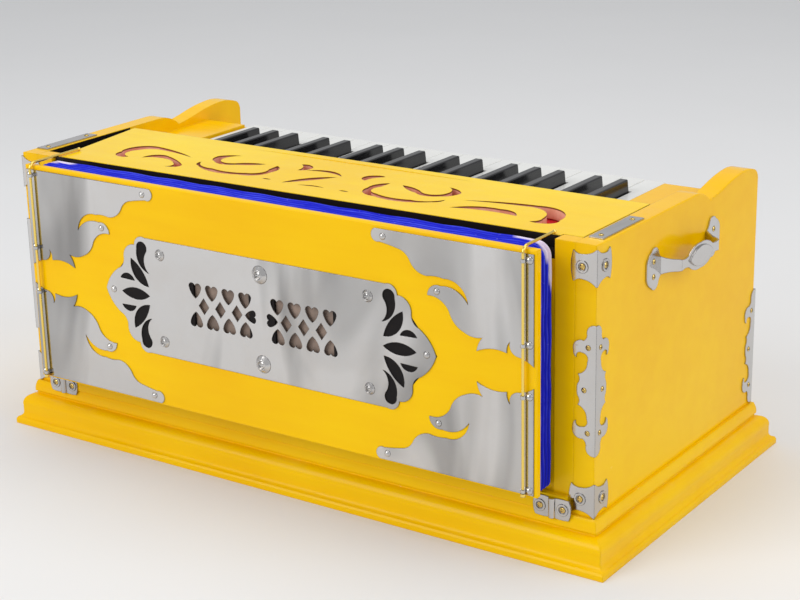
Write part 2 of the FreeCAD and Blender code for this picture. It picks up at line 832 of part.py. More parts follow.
def grille_outline():
    """The long plate: straight sides and three lobes at each end."""
    span = size("grille_half_width")
    tall = size("grille_half_height")
    quarter = [(span - 49.0, tall), (span - 40.0, tall - 1.5, span - 37.0, tall - 8.0),
               (span - 28.5, tall - 10.5, span - 23.5, tall - 21.0),
               (span - 23.0, tall - 26.0, span - 16.0, tall - 33.0),
               (span - 7.0, tall - 41.0, span, 0.0)]
    right = quarter + backwards(turned(quarter))[1:]
    return right + backwards(mirrored(right)) + [right[0]]


def end_cuts():
    """The flower at the right end of the long plate: a leaf, two forked leaves and two commas."""
    upper = [
        [(0.0, 8.5), (11.5, 12.0, 19.5, 33.0), (5.5, 21.0, 0.0, 8.5)],
        [(16.5, 12.0), (24.5, 18.0, 33.5, 12.5), (24.5, 12.2, 16.5, 12.0)],
        [(-1.5, 21.0), (4.0, 31.0, 1.5, 40.0), (5.5, 50.0, 12.0, 43.0), (10.5, 30.0, -1.5, 21.0)],
    ]
    flower = [lens(16.0, 0, 16.5, 5.5)] + upper + [turned(path) for path in upper]
    return [shifted(path, size("grille_half_width") - size("grille_flower"), 0) for path in flower]


def grille_cuts():
    cuts = []
    centre = size("flap_lift")
    pitch = size("heart_pitch")
    for side in (-1, 1):
        for column in range(4):
            x = side * (17.5 + pitch * column)
            cuts.append(heart(x, centre + 13.6, -1))
            cuts.append(heart(x, centre - 13.6, 1))
        for column in range(3):
            cuts.append(diamond(side * (17.5 + pitch * (column + 0.5)), centre, 5.8, 7.6))
        lying = side_heart(11.6, centre, 0.84)
        cuts.append(lying if side > 0 else mirrored(lying))
        ends = end_cuts()
        cuts += ends if side > 0 else [mirrored(path) for path in ends]
    return cuts


def make_grille():
    middle = board_middle
    paths = [shifted(path, 0, middle) for path in [grille_outline()] + grille_cuts()]
    body = slab("grille_plate", "XZ_Plane", -board_front, paths, "sizes.sheet_thick")
    keep(body, "grille_plate")


def corner_path():
    """A corner plate as (inward from its outer edge, away from the board's end)."""
    return [(0, 0), (149, 0), (152, 7.5, 144.5, 10.8), (135, 12.2, 127, 13.8), (120, 16.5, 115.5, 21.5),
            (109, 29.5, 99, 32.6), (91, 31.6, 83, 32.4), (69, 35.5, 60, 50.5), (73, 40, 86, 39.2),
            (95, 41, 98.5, 48.6), (85, 51.5, 78, 59), (72.5, 68.5, 64, 74), (56, 76.5, 47, 75.5),
            (50.5, 81, 52.5, 87.6), (41, 83.5, 24.5, 84.2), (24.2, 79, 21.5, 74.2),
            (20, 82.5, 15, 85.5), (7, 87.5, 0, 91.5), (0, 0)]


def corner_low():
    return board_bottom + size("corner_rise")


def corner_high():
    return board_top - size("corner_drop")


def corner_placed(side, top):
    path = []
    for step in corner_path():
        moved = []
        for index in range(0, len(step), 2):
            away = step[index + 1]
            level = corner_high() - away if top else corner_low() + away
            moved += [side * (corner_edge - step[index]), level]
        path.append(tuple(moved))
    return path


def make_corner_plates():
    plates = []
    for side, across in ((-1, "left"), (1, "right")):
        for top, along in ((True, "upper"), (False, "lower")):
            plates.append(slab("corner_%s_%s" % (along, across), "XZ_Plane", -board_front,
                               [corner_placed(side, top)], "sizes.sheet_thick"))
    keep(group("corner_plates", plates), "corner_plates")


# Screws and nails

def along_axis(shape, position, direction):
    """A shape built up along +Z, moved to a position and turned to a direction."""
    placed = shape.copy()
    placed.Placement = Placement(Vector(*position), Rotation(Vector(0, 0, 1), Vector(*direction)))
    return placed


def dome(radius, height):
    """A domed head: the cap of a sphere."""
    sphere_radius = (radius * radius + height * height) / (2 * height)
    ball = Part.makeSphere(sphere_radius, Vector(0, 0, height - sphere_radius))
    return ball.common(Part.makeCylinder(radius, height))


def cross(head, radius, top):
    """A cross recess cut into a head."""
    width = 0.32 * radius
    for angle in (0, 90):
        bar = Part.makeBox(1.3 * radius, width, 1.0, Vector(-0.65 * radius, -width / 2, top - 0.6))
        bar.rotate(Vector(), Vector(0, 0, 1), angle)
        head = head.cut(bar)
    return head


def cup_screw(radius, washer):
    """A raised cup washer round a countersunk screw."""
    rim = Part.makeCone(washer, radius * 1.15, 0.42 * washer)
    well = Part.makeCone(radius * 0.7, radius * 1.05, 0.42 * washer, Vector(0, 0, 0.12 * washer))
    head = dome(radius * 0.92, 0.4 * radius)
    head.translate(Vector(0, 0, 0.2 * washer))
    head = cross(head, radius * 0.92, 0.2 * washer + 0.4 * radius)
    core = Part.makeCylinder(radius * 0.72, 0.22 * washer)
    return rim.cut(well).fuse(core).fuse(head).removeSplitter()


def flat_screw(radius):
    """A raised countersunk screw seated on sheet metal."""
    return cross(dome(radius, 0.45 * radius), radius, 0.45 * radius)


def compound(name, shapes):
    obj = doc.addObject("Part::Feature", name)
    obj.Shape = Part.makeCompound([solid for shape in shapes for solid in shape.Solids])
    return keep(obj, name)


def wire_line():
    """Y of the latch wires, clear of the plates."""
    return plate_front - size("wire_stand")


def eyelet(side):
    """A domed nail with a small loop beside it, through which a latch wire turns."""
    bore = size("wire_radius") + size("wire_clear")
    height = 3.0
    wall = 0.8
    stand = size("wire_stand")
    across = side * (wire_x - board_half + size("nail_inset"))
    axis = Vector(across, -stand, -height / 2)
    loop = Part.makeCylinder(bore + wall, height, axis)
    stem = Part.makeBox(2 * wall, stand, height, axis - Vector(wall, 0, 0))
    head = along_axis(dome(3.4, 2.4), (0, 0, 0), (0, -1, 0))
    return head.fuse([loop, stem]).cut(Part.makeCylinder(bore, height, axis)).removeSplitter()


def make_board_fixings():
    """Cup screws and rivets in the plates, and the nails whose loops hold the latch wires."""
    towards = (0, -1, 0)
    grille_screw = size("grille_half_width") - 66.5
    rivet_x = size("grille_half_width") - 9.0
    nail_x = board_half - size("nail_inset")
    shapes = []
    for side in (-1, 1):
        for level in (-1, 1):
            place = (side * grille_screw, plate_front, board_middle + level * 40.5)
            shapes.append(along_axis(cup_screw(3.2, 5.4), place, towards))
        shapes.append(along_axis(dome(3.2, 2.2), (side * rivet_x, plate_front, board_middle), towards))
        for end, inward in ((corner_high(), -1), (corner_low(), 1)):
            for across, away in ((141.0, 6.0), (89.5, 44.0)):
                place = (side * (corner_edge - across), plate_front, end + inward * away)
                shapes.append(along_axis(dome(3.0, 2.2), place, towards))
        for level in (corner_low() + 4.0, board_middle - 17.25, board_middle + 25.75, corner_high() - 5.0):
            nail = eyelet(side)
            nail.translate(Vector(side * nail_x, plate_front, level))
            shapes.append(nail)
    for level in (-1, 1):
        shapes.append(along_axis(cup_screw(4.0, 8.2), (0, plate_front, board_middle + level * 40.5), towards))
    compound("board_fixings", shapes)


# Latch wires

def make_latch(name, side):
    """A spring wire: up the board, over its top edge, and an arm that lies over the case's top."""
    radius = size("wire_radius")
    bend = size("wire_bend")
    x = side * wire_x
    y = wire_line()
    arm = size("wire_arm_right" if side > 0 else "wire_arm_left")
    low = board_bottom + size("wire_foot")
    high = case_top + radius + 0.5
    nick = bend * (1 - math.sqrt(0.5))
    start = Vector(x, y, low)
    bend_start = Vector(x, y, high - bend)
    bend_end = Vector(x, y + bend, high)
    path = Part.Wire([Part.LineSegment(start, bend_start).toShape(),
                      Part.Arc(bend_start, Vector(x, y + nick, high - nick), bend_end).toShape(),
                      Part.LineSegment(bend_end, Vector(x, y + arm, high)).toShape()])
    profile = Part.Wire(Part.Circle(start, Vector(0, 0, 1), radius).toShape())
    tube = path.makePipeShell([profile], True, False)
    foot = Part.makeCylinder(radius + 1.0, 3.0, Vector(x, y, low - 1.0))
    tip = Part.makeSphere(radius + 0.45, Vector(x, y + arm, high))
    obj = doc.addObject("Part::Feature", name)
    obj.Shape = tube.fuse([foot, tip]).removeSplitter()
    keep(obj, name)


# Brackets, top plates, small hinges and handles on the case

def flat_piece(outline, thick, origin, along, up, out):
    """Sheet metal cut to an outline of (along, up) and raised towards out."""
    def point(u, v):
        return Vector(*origin) + Vector(*along) * u + Vector(*up) * v
    edges = []
    here = point(*outline[0])
    for step in outline[1:]:
        there = point(*step[-2:])
        if len(step) == 2:
            edges.append(Part.LineSegment(here, there).toShape())
        else:
            edges.append(Part.Arc(here, point(*step[:2]), there).toShape())
        here = there
    return Part.Face(Part.Wire(edges)).extrude(Vector(*out) * thick)


def short_leaf():
    """One leaf of a small corner bracket as (out from the corner, up from its middle)."""
    return [(0, -15), (6, -11.2, 11, -10.2), (15.5, -10.2, 20, -12.8), (22.2, 0, 20, 12.8),
            (15.5, 10.2, 11, 10.2), (6, 11.2, 0, 15), (0, -15)]


def long_leaf():
    """One leaf of a long ornamental corner bracket."""
    upper = [(0, 55), (5.0, 53.5, 7.2, 47), (8.0, 43.5, 10.5, 41.2), (17.5, 39.5, 19.2, 32),
             (18.6, 28.5, 16.5, 26.5), (15.6, 30.5, 11.5, 31.2), (7.0, 29, 6.8, 24),
             (8.5, 17.5, 15.2, 13.0), (13.6, 9.5, 15.0, 5.5), (15.8, 2.8, 15.8, 0)]
    return upper + backwards(turned(upper))[1:] + [upper[0]]


def washer(position, direction):
    """The raised ring round a screw hole of the small sheet metal parts."""
    height = 0.8
    ring_solid = Part.makeCylinder(size("washer_radius"), height)
    ring_solid = ring_solid.cut(Part.makeCylinder(size("washer_bore"), height))
    return along_axis(ring_solid, position, direction)


def angle_bracket(outline, side, edge, level):
    """Two leaves round a vertical edge of the case, with the fold between them."""
    thick = size("bracket_thick")
    inward = 1 if edge < 0 else -1
    corner = (side * half_width, edge, level)
    tall = 2 * max(abs(step[-1]) for step in outline if step[-2] == 0)
    fold = flat_piece(rectangle(0, -tall / 2, thick, tall / 2), thick, corner,
                      (side, 0, 0), (0, 0, 1), (0, -inward, 0))
    face = flat_piece(outline, thick, corner, (-side, 0, 0), (0, 0, 1), (0, -inward, 0))
    flank = flat_piece(outline, thick, corner, (0, inward, 0), (0, 0, 1), (side, 0, 0))
    return face.fuse([flank, fold]).removeSplitter()


LEAF_SCREWS = {"short": [(12.0, 0.0)], "long": [(6.0, 36.0), (9.4, 0.0), (6.0, -36.0)]}


def bracket_list():
    """Every corner bracket as (kind, side, edge, level)."""
    middle = (plinth_top + case_top) / 2
    found = []
    for side in (-1, 1):
        found.append(("short", side, rear, case_top - 18.5))
        found.append(("long", side, rear, middle - 5.5))
        found.append(("short", side, rear, plinth_top + 15.0))
        found.append(("long", side, front, plinth_top + 56.0))
    return found


def top_plate_outline():
    return [(-6.5, -34), (6.5, -34), (6.5, 34), (-6.5, 34), (-6.5, -34)]


def top_plate_place(side):
    return (side * (half_width - size("cheek_thick") / 2), rear + 50.0)


def small_hinge(side):
    """Two leaves on the rail's end with a knuckle between them."""
    thick = size("bracket_thick")
    face = rear - size("rail_depth")
    level = plinth_top + size("hinge_rise")
    knuckle_x = side * (post_in + 2.0)
    tall = size("hinge_half")
    leaf = [(2.0, -tall), (9.0, -tall - 0.6, 15.5, -tall), (17.6, 0.0, 15.5, tall),
            (9.0, tall + 0.6, 2.0, tall), (2.0, -tall)]
    shapes = [flat_piece(leaf, thick, (knuckle_x, face, level), (way, 0, 0), (0, 0, 1), (0, -1, 0))
              for way in (-1, 1)]
    barrel = Part.makeCylinder(3.2, 2 * tall, Vector(knuckle_x, face - 0.6, level - tall))
    outside = Part.makeBox(8.0, 6.0, 2 * tall, Vector(knuckle_x - 4.0, face - 6.0, level - tall))
    barrel = barrel.common(outside)
    return barrel.fuse(shapes).removeSplitter()


def bracket_screws():
    """Every screw of the corner brackets and small hinges as (place, direction, whether it has a washer)."""
    thick = size("bracket_thick")
    found = []
    for kind, side, edge, level in bracket_list():
        inward = 1 if edge < 0 else -1
        for across, up in LEAF_SCREWS[kind]:
            on_face = (side * (half_width - across), edge - inward * thick, level + up)
            on_flank = (side * (half_width + thick), edge + inward * across, level + up)
            found.append((on_face, (0, -inward, 0), kind == "short"))
            found.append((on_flank, (side, 0, 0), kind == "short"))
    face = rear - size("rail_depth") - thick
    for side in (-1, 1):
        for across in (-9.0, 12.0):
            place = (side * (post_in + across), face, plinth_top + size("hinge_rise"))
            found.append((place, (0, -1, 0), True))
    return found


def make_brackets():
    shapes = []
    for kind, side, edge, level in bracket_list():
        outline = short_leaf() if kind == "short" else long_leaf()
        shapes.append(angle_bracket(outline, side, edge, level))
    for side in (-1, 1):
        x, y = top_plate_place(side)
        shapes.append(flat_piece(top_plate_outline(), size("bracket_thick"), (x, y, case_top),
                                 (1, 0, 0), (0, 1, 0), (0, 0, 1)))
        shapes.append(small_hinge(side))
    for (x, y, z), direction, small in bracket_screws():
        if small:
            shapes.append(washer((x, y, z), direction))
    merged = shapes[0].fuse(shapes[1:]).removeSplitter()
    compound("corner_brackets", [merged])


def handle_profile(side):
    """The strap bent out from the side face, seen from above, as a closed strip."""
    thick = size("strap_thick")
    half = size("handle_span") / 2
    rise = size("handle_rise")
    foot = half - size("handle_foot")
    knee = foot - size("handle_slope")
    nudge = thick * 0.45
    line = [(-half, 0), (-foot, 0), (-knee, rise), (knee, rise), (foot, 0), (half, 0)]
    back = [(half, thick), (foot + nudge, thick), (knee + nudge, rise + thick),
            (-knee - nudge, rise + thick), (-foot - nudge, thick), (-half, thick)]
    points = [Vector(side * (half_width + out), along, 0) for along, out in line + back]
    return points + [points[0]]


def handle_outline():
    """The strap seen from the side: two lobed plates, two necks and a leaf in the middle."""
    half = size("handle_span") / 2
    tall = size("handle_height") / 2
    upper = [(-half, 0), (-half + 1.0, 9.0, -half + 8.0, tall - 2.0),
             (-half + 14.0, tall + 1.0, -half + 20.0, tall - 3.0), (-half + 24.0, 8.0, -half + 32.0, 5.2),
             (-half + 40.0, 4.0, -half + 46.0, 5.0), (-12.0, 10.0, 0.0, 11.0),
             (12.0, 10.0, half - 46.0, 5.0), (half - 40.0, 4.0, half - 32.0, 5.2),
             (half - 24.0, 8.0, half - 20.0, tall - 3.0), (half - 14.0, tall + 1.0, half - 8.0, tall - 2.0),
             (half - 1.0, 9.0, half, 0)]
    return upper + backwards(turned(upper))[1:]


def make_handles():
    straps = []
    for side in (-1, 1):
        strip = Part.Face(Part.makePolygon(handle_profile(side))).extrude(Vector(0, 0, 80))
        strip.translate(Vector(0, 0, handle_level - 40))
        centre = (side * (half_width - 5.0), 0, handle_level)
        flat = flat_piece(handle_outline(), 40.0, centre, (0, 1, 0), (0, 0, 1), (side, 0, 0))
        boss = [(-21.0, 0), (0, 8.6, 21.0, 0), (0, -8.6, -21.0, 0)]
        face = (side * (half_width + size("handle_rise") + 1.4), 0, handle_level)
        raised = flat_piece(boss, 1.6, face, (0, 1, 0), (0, 0, 1), (side, 0, 0))
        straps.append(strip.common(flat).fuse(raised).removeSplitter())
    compound("side_handles", straps)


def handle_screws():
    half = size("handle_span") / 2
    return [(way * (half - 12.0), handle_level + level) for way in (-1, 1) for level in (-6.5, 6.5)]


def make_case_screws():
    """Brass screws in the brackets, top plates, small hinges and handles."""
    thick = size("bracket_thick")
    shapes = [along_axis(flat_screw(2.8 if small else 2.4), place, direction)
              for place, direction, small in bracket_screws()]
    for side in (-1, 1):
        x, y = top_plate_place(side)
        for along in (-26.0, 26.0):
            shapes.append(along_axis(flat_screw(2.4), (x, y + along, case_top + thick), (0, 0, 1)))
        for along, level in handle_screws():
            place = (side * (half_width + size("strap_thick")), along, level)
            shapes.append(along_axis(flat_screw(2.6), place, (side, 0, 0)))
    compound("case_screws", shapes)


# Stops on the player's side

def make_stop(name, side):
    """A turned knob on a stem that slides in the front board."""
    face = front - size("front_setback")
    body = new_body(name)
    knob = size("knob_radius")
    stem = size("stem_radius")
    long_stem = size("front_thick") + 8.0
    length = size("knob_length")
    profile = [(0, -long_stem), (stem, -long_stem), (stem, 0.4), (0.7 * knob, 0.4),
               (0.5 * knob, 0.2 * length, 0.62 * knob, 0.42 * length), (0.98 * knob, 0.55 * length),
               (0.98 * knob, 0.88 * length, 0.6 * knob, length), (0, length), (0, -long_stem)]
    sketch = new_sketch(body, name + "_profile", "XY_Plane", 0, [profile])
    turn = body.newObject("PartDesign::Revolution", name + "_turned")
    turn.Profile = sketch
    turn.ReferenceAxis = (sketch, ["V_Axis"])
    turn.Angle = 360
    body.Tip = turn
    x, level = stop_place(side)
    body.Placement = Placement(Vector(x, face, level), Rotation())
    keep(body, name)


make_base()
make_cheek("cheek_left", -1)
make_cheek("cheek_right", 1)
make_front_board()
make_rear_frame()
make_lid()
make_keys()
make_reed_board()
make_reeds()
make_key_rail()
make_reservoir()
make_bellows_board()
make_bellows_folds()
make_intake_flap()
make_grille()
make_corner_plates()
make_board_fixings()
make_latch("latch_wire_left", -1)
make_latch("latch_wire_right", 1)
make_brackets()
make_handles()
make_case_screws()
make_stop("stop_knob_left", -1)
make_stop("stop_knob_right", 1)
doc.recompute()

failed = [obj.Name for obj in doc.Objects if "Invalid" in obj.State or "Error" in obj.State]
if failed:
    raise RuntimeError("These objects failed: " + ", ".join(failed))
for name, obj in nodes.items():
    shape = obj.Shape
    if shape.isNull() or not shape.isValid() or not shape.Solids:
        raise RuntimeError("The shape of %s isn't a valid solid" % name)

os.makedirs("parts", exist_ok=True)
for name, obj in nodes.items():
    obj.Shape.exportStep("parts/%s.step" % name)
    bounds = obj.Shape.BoundBox
    print("%-20s %2d solids %10.0f mm3  x %.1f..%.1f y %.1f..%.1f z %.1f..%.1f" % (
        name, len(obj.Shape.Solids), obj.Shape.Volume, bounds.XMin, bounds.XMax, bounds.YMin, bounds.YMax,
        bounds.ZMin, bounds.ZMax))
print(len(nodes), "nodes")
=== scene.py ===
import json

import bpy
import numpy as np
from bpy.props import FloatProperty, FloatVectorProperty, IntProperty, PointerProperty
from mathutils import Matrix, Vector


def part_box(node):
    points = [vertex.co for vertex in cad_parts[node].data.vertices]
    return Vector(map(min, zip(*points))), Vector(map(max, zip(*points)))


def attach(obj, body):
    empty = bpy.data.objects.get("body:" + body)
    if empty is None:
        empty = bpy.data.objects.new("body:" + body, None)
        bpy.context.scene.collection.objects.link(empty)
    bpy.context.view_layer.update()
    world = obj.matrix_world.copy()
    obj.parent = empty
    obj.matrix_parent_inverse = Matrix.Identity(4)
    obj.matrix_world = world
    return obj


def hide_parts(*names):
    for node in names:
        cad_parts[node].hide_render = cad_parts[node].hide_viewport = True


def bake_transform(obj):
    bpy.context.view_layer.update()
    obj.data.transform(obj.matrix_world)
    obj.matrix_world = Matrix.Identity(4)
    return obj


bl_info = {
    "name": "Indian harmonium",
    "version": (1, 0, 0),
    "blender": (4, 5, 0),
    "location": "3D View > Sidebar > Harmonium",
    "description": "Dresses the harmonium's solids with enamel, plating, keys and folded cloth",
    "category": "Object",
}

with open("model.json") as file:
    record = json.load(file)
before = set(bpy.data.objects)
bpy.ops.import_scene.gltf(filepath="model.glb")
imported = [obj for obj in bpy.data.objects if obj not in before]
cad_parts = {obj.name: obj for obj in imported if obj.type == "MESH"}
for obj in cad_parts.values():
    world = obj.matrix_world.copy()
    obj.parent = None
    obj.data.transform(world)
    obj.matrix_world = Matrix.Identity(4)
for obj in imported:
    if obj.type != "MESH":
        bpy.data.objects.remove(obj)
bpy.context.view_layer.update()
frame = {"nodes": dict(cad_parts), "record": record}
MATERIAL_SLOT = {part["node"]: part["material_slot"] for part in frame["record"]["subparts"]}

# Near-black patch on the board behind the long plate: its half height, and how it narrows to the plate's ends
DARK_PATCH_HALF = 0.0505
DARK_PATCH_END = 0.040
DARK_PATCH_END_HALF = 0.049
DARK_PATCH_SLOPE = 1.2
DARK_PATCH_BLEND = 0.0003

# Painted shade strips round the lid, from its own edges or from the middle of the case
REAR_WALL = 0.019
PAINT_LIP = 0.0003
GAP_SHADE_REAR = 0.0035
GAP_SHADE_FRONT = 0.0085
GAP_SHADE_DEEP = 0.0172
CHEEK_INSIDE = 0.2693
SIDE_INSIDE = 0.2600
SIDE_GAP = 0.0016
BLEND = 0.0005
SHARP = 0.0002

# The lid's cut-outs, and the red cloth under them
FRET_HALF = 0.256
FRET_REAR = 0.010
FRET_FRONT = 0.018
FRET_BLEND = 0.002
DARK_RIM_DEPTH = 0.0016
DARK_RIM_BLEND = 0.0007
# Painted light reflected from the red cloth onto the cut walls, pale and pink
CLOTH_GLOW_PALE = (0.92, 0.55, 0.40)
CLOTH_GLOW_PINK = (0.80, 0.33, 0.20)
# dark brown along the top of the cut walls
CUT_TOP_DARK = (0.20, 0.05, 0.012)
CLOTH_HALF = 0.255
CLOTH_REAR = 0.012
CLOTH_FRONT = 0.0135
CLOTH_BELOW = 0.0104
CLOTH_GRID = (121, 41)

# The pleats of the bellows
SIDE_CLEAR = 0.0004
TOP_CLEAR = 0.0003
FOOT_RADIUS = 0.006
LOOP_SPACING = 0.006
STEPS_PER_PLEAT = 12
FOOT_RISE = 0.05
LINING_REACH = 0.34
LINING_BLEND = 0.02

# Lamps: name, place, size and the setting that holds the power
AIM = (0.0, -0.05, 0.14)
LAMPS = (("Front lamp", (-1.1, -2.3, 1.7), 1.8, "key_power"),
         ("Top lamp", (0.1, 0.3, 2.4), 2.0, "top_power"),
         ("Side lamp", (2.4, 0.2, 1.3), 1.6, "side_power"))


# Settings

def colour(name, description, default):
    return FloatVectorProperty(name=name, description=description, default=default,
                               subtype="COLOR", size=3, min=0.0, max=1.0)


def length(name, description, default):
    return FloatProperty(name=name, description=description, default=default,
                         subtype="DISTANCE", unit="LENGTH", min=0.0)


def share(name, description, default):
    return FloatProperty(name=name, description=description, default=default,
                         subtype="FACTOR", min=0.0, max=1.0)


class PaintSettings(bpy.types.PropertyGroup):
    case_yellow: colour("Case yellow", "Enamel on the case, plinth and bellows board", (0.95, 0.56, 0.0))
    lid_yellow: colour("Lid yellow", "Enamel on the fretwork lid", (0.97, 0.665, 0.0))
    primer: colour("Primer", "Pale undercoat that shows where the enamel is chipped", (0.86, 0.76, 0.52))
    bare_wood: colour("Bare wood", "Unpainted boards inside the case", (0.46, 0.27, 0.13))
    # painted shade, near-black, on the faces in the gaps round the lid
    gap_shade: colour("Dark strip", "Painted shade on the faces in the gaps round the lid", (0.014, 0.011, 0.010))
    # near-black colour of the board behind the long plate's openings
    behind_plate_dark: colour("Behind plate dark", "Near-black board behind the long plate's openings", (0.012, 0.010, 0.010))
    dust: colour("Dust", "Dust that lies on the ledges", (0.78, 0.74, 0.66))
    gloss: share("Gloss", "Roughness of clean enamel", 0.16)
    edge_round: length("Edge rounding", "Radius at which painted edges look rounded", 0.0012)


class MetalSettings(bpy.types.PropertyGroup):
    nickel: colour("Nickel", "Plated sheet of brackets, handles and pierced plates", (0.64, 0.625, 0.612))
    brass: colour("Brass", "Screws of the case", (0.86, 0.62, 0.20))
    wire_gold: colour("Wire", "Spring wires of the latches", (0.93, 0.68, 0.16))
    nickel_rough: share("Plating roughness", "Roughness of clean plating", 0.07)


class ClothSettings(bpy.types.PropertyGroup):
    bellows_blue: colour("Bellows blue", "Cotton cloth of the bellows", (0.006, 0.012, 0.66))
    # painted highlight along the pleats' ridges
    ridge_highlight_blue: colour("Ridge highlight blue", "Painted highlights along the pleats' ridges", (0.10, 0.14, 1.0))
    lining: colour("Lining", "Pale cloth that backs the outer pleats", (0.80, 0.70, 0.86))
    lid_red: colour("Lid red", "Cloth stretched under the fretwork", (0.78, 0.02, 0.035))
    leather: colour("Leather", "Flap behind the air holes", (0.20, 0.145, 0.115))
    pleats: IntProperty(name="Pleats", description="Folds between the case and the board", default=5,
                        min=2, max=12)
    pleat_depth: length("Pleat depth", "How far a valley lies inside the ridges", 0.0048)
    corner_radius: length("Corner radius", "Radius of the pleats round the upper corners", 0.011)
    lining_side: length("Lining down the side", "Length of pale cloth below a corner", 0.040)
    lining_top: length("Lining along the top", "Length of pale cloth beside a corner", 0.030)
    cloth_thick: length("Cloth thickness", "Thickness of the bellows cloth", 0.0006)
    lid_sag: length("Lid cloth sag", "How far the red cloth hangs in its middle", 0.0012)


class KeySettings(bpy.types.PropertyGroup):
    key_white: colour("White key", "Moulded cap of a white key", (0.80, 0.80, 0.77))
    key_black: colour("Black key", "Moulded cap of a black key", (0.010, 0.010, 0.011))
    lever_wood: colour("Lever wood", "Wood of the levers", (0.52, 0.33, 0.17))
    knob_black: colour("Knob", "Stop knobs", (0.012, 0.011, 0.011))
    cap_level: length("Cap level", "Height at which wood ends and a white cap begins", 0.240)
    sharp_level: length("Sharp level", "Height at which wood ends and a black cap begins", 0.2425)


class StageSettings(bpy.types.PropertyGroup):
    floor: colour("Floor", "Pale floor under the instrument", (0.80, 0.80, 0.80))
    sky: colour("Surround", "Pale surround above the floor", (0.92, 0.93, 0.95))
    sky_strength: FloatProperty(name="Surround strength", description="Light of the surround",
                                default=0.62, min=0.0)
    key_power: FloatProperty(name="Front lamp", description="Power of the front lamp", default=34.0,
                             min=0.0, unit="POWER")
    top_power: FloatProperty(name="Top lamp", description="Power of the top lamp", default=17.0,
                             min=0.0, unit="POWER")
    side_power: FloatProperty(name="Side lamp", description="Power of the side lamp", default=15.0,
                              min=0.0, unit="POWER")
    camera_place: FloatVectorProperty(name="Camera", description="Place of the camera", size=3,
                                      subtype="XYZ", unit="LENGTH", default=(0.95775, -1.35717, 0.68004))
    camera_right: FloatVectorProperty(name="Camera right", description="Direction of the picture's right",
                                      size=3, subtype="DIRECTION", default=(0.82582, 0.56357, -0.02022))
    camera_up: FloatVectorProperty(name="Camera up", description="Direction of the picture's top",
                                   size=3, subtype="DIRECTION", default=(-0.16032, 0.26899, 0.94971))
    lens: FloatProperty(name="Lens", description="Focal length on a 36 mm wide picture", default=83.7,
                        min=10.0, subtype="DISTANCE_CAMERA")


# Node trees

class Graph:
    """A node tree whose calls take numbers, colours or the sockets of other nodes."""

    def __init__(self, tree):
        self.tree = tree

    def fill(self, socket, value):
        if isinstance(value, bpy.types.NodeSocket):
            self.tree.links.new(value, socket)
        elif hasattr(value, "__len__") and socket.type == "RGBA":
            socket.default_value = tuple(value)[:3] + (1.0,)
        else:
            socket.default_value = value

    def node(self, kind, inputs=(), **settings):
        made = self.tree.nodes.new("ShaderNode" + kind)
        for key, value in settings.items():
            setattr(made, key, value)
        for key, value in dict(inputs).items():
            self.fill(made.inputs[key], value)
        return made

    def math(self, operation, first, second=0.0, clamp=False):
        made = self.node("Math", {0: first, 1: second}, operation=operation, use_clamp=clamp)
        return made.outputs[0]

    def times(self, first, *others):
        for other in others:
            first = self.math("MULTIPLY", first, other)
        return first

    def dot(self, first, second):
        return self.node("VectorMath", {0: first, 1: second}, operation="DOT_PRODUCT").outputs["Value"]

    def noise(self, vector, scale, detail=2.0, roughness=0.5):
        made = self.node("TexNoise", {"Vector": vector, "Scale": scale, "Detail": detail,
                                      "Roughness": roughness})
        return made.outputs["Fac"]

    def stretch(self, vector, scale):
        return self.node("Mapping", {"Vector": vector, "Scale": scale}).outputs["Vector"]

    def spread(self, value, low, high, to_low=0.0, to_high=1.0):
        """The value carried from one range to another and held at its ends."""
        made = self.node("MapRange", {"Value": value, "From Min": low, "From Max": high,
                                      "To Min": to_low, "To Max": to_high}, clamp=True)
        return made.outputs["Result"]

    def step(self, value, edge, blend):
        """Nought before the edge and one past it, over a short blend; a negative blend turns it round."""
        return self.spread(value, edge, edge + blend)

    def mix(self, factor, first, second):
        made = self.node("Mix", data_type="RGBA")
        for socket, value in ((made.inputs["Factor"], factor), (made.inputs[6], first),
                              (made.inputs[7], second)):
            self.fill(socket, value)
        return made.outputs[2]

    def bump(self, height, distance, normal=None, strength=1.0):
        made = self.node("Bump", {"Height": height, "Distance": distance, "Strength": strength})
        if normal is not None:
            self.fill(made.inputs["Normal"], normal)
        return made.outputs["Normal"]

    def split(self, vector):
        return self.node("SeparateXYZ", {"Vector": vector}).outputs

    def effect(self, tree, **inputs):
        made = self.node("Group", node_tree=tree)
        for key, value in inputs.items():
            self.fill(made.inputs[key.replace("_", " ")], value)
        return made.outputs


def effect_group(name, inputs, outputs):
    """An empty node group with its sockets, as (graph, input sockets, function that sets an output)."""
    tree = bpy.data.node_groups.new(name, "ShaderNodeTree")
    kinds = {"value": "NodeSocketFloat", "vector": "NodeSocketVector"}
    for label, kind, default in inputs:
        socket = tree.interface.new_socket(name=label, in_out="INPUT", socket_type=kinds[kind])
        if default is not None:
            socket.default_value = default
    for label, kind in outputs:
        tree.interface.new_socket(name=label, in_out="OUTPUT", socket_type=kinds[kind])
    start = tree.nodes.new("NodeGroupInput")
    end = tree.nodes.new("NodeGroupOutput")

    def put(label, socket):
        tree.links.new(socket, end.inputs[label])
    return Graph(tree), start.outputs, put


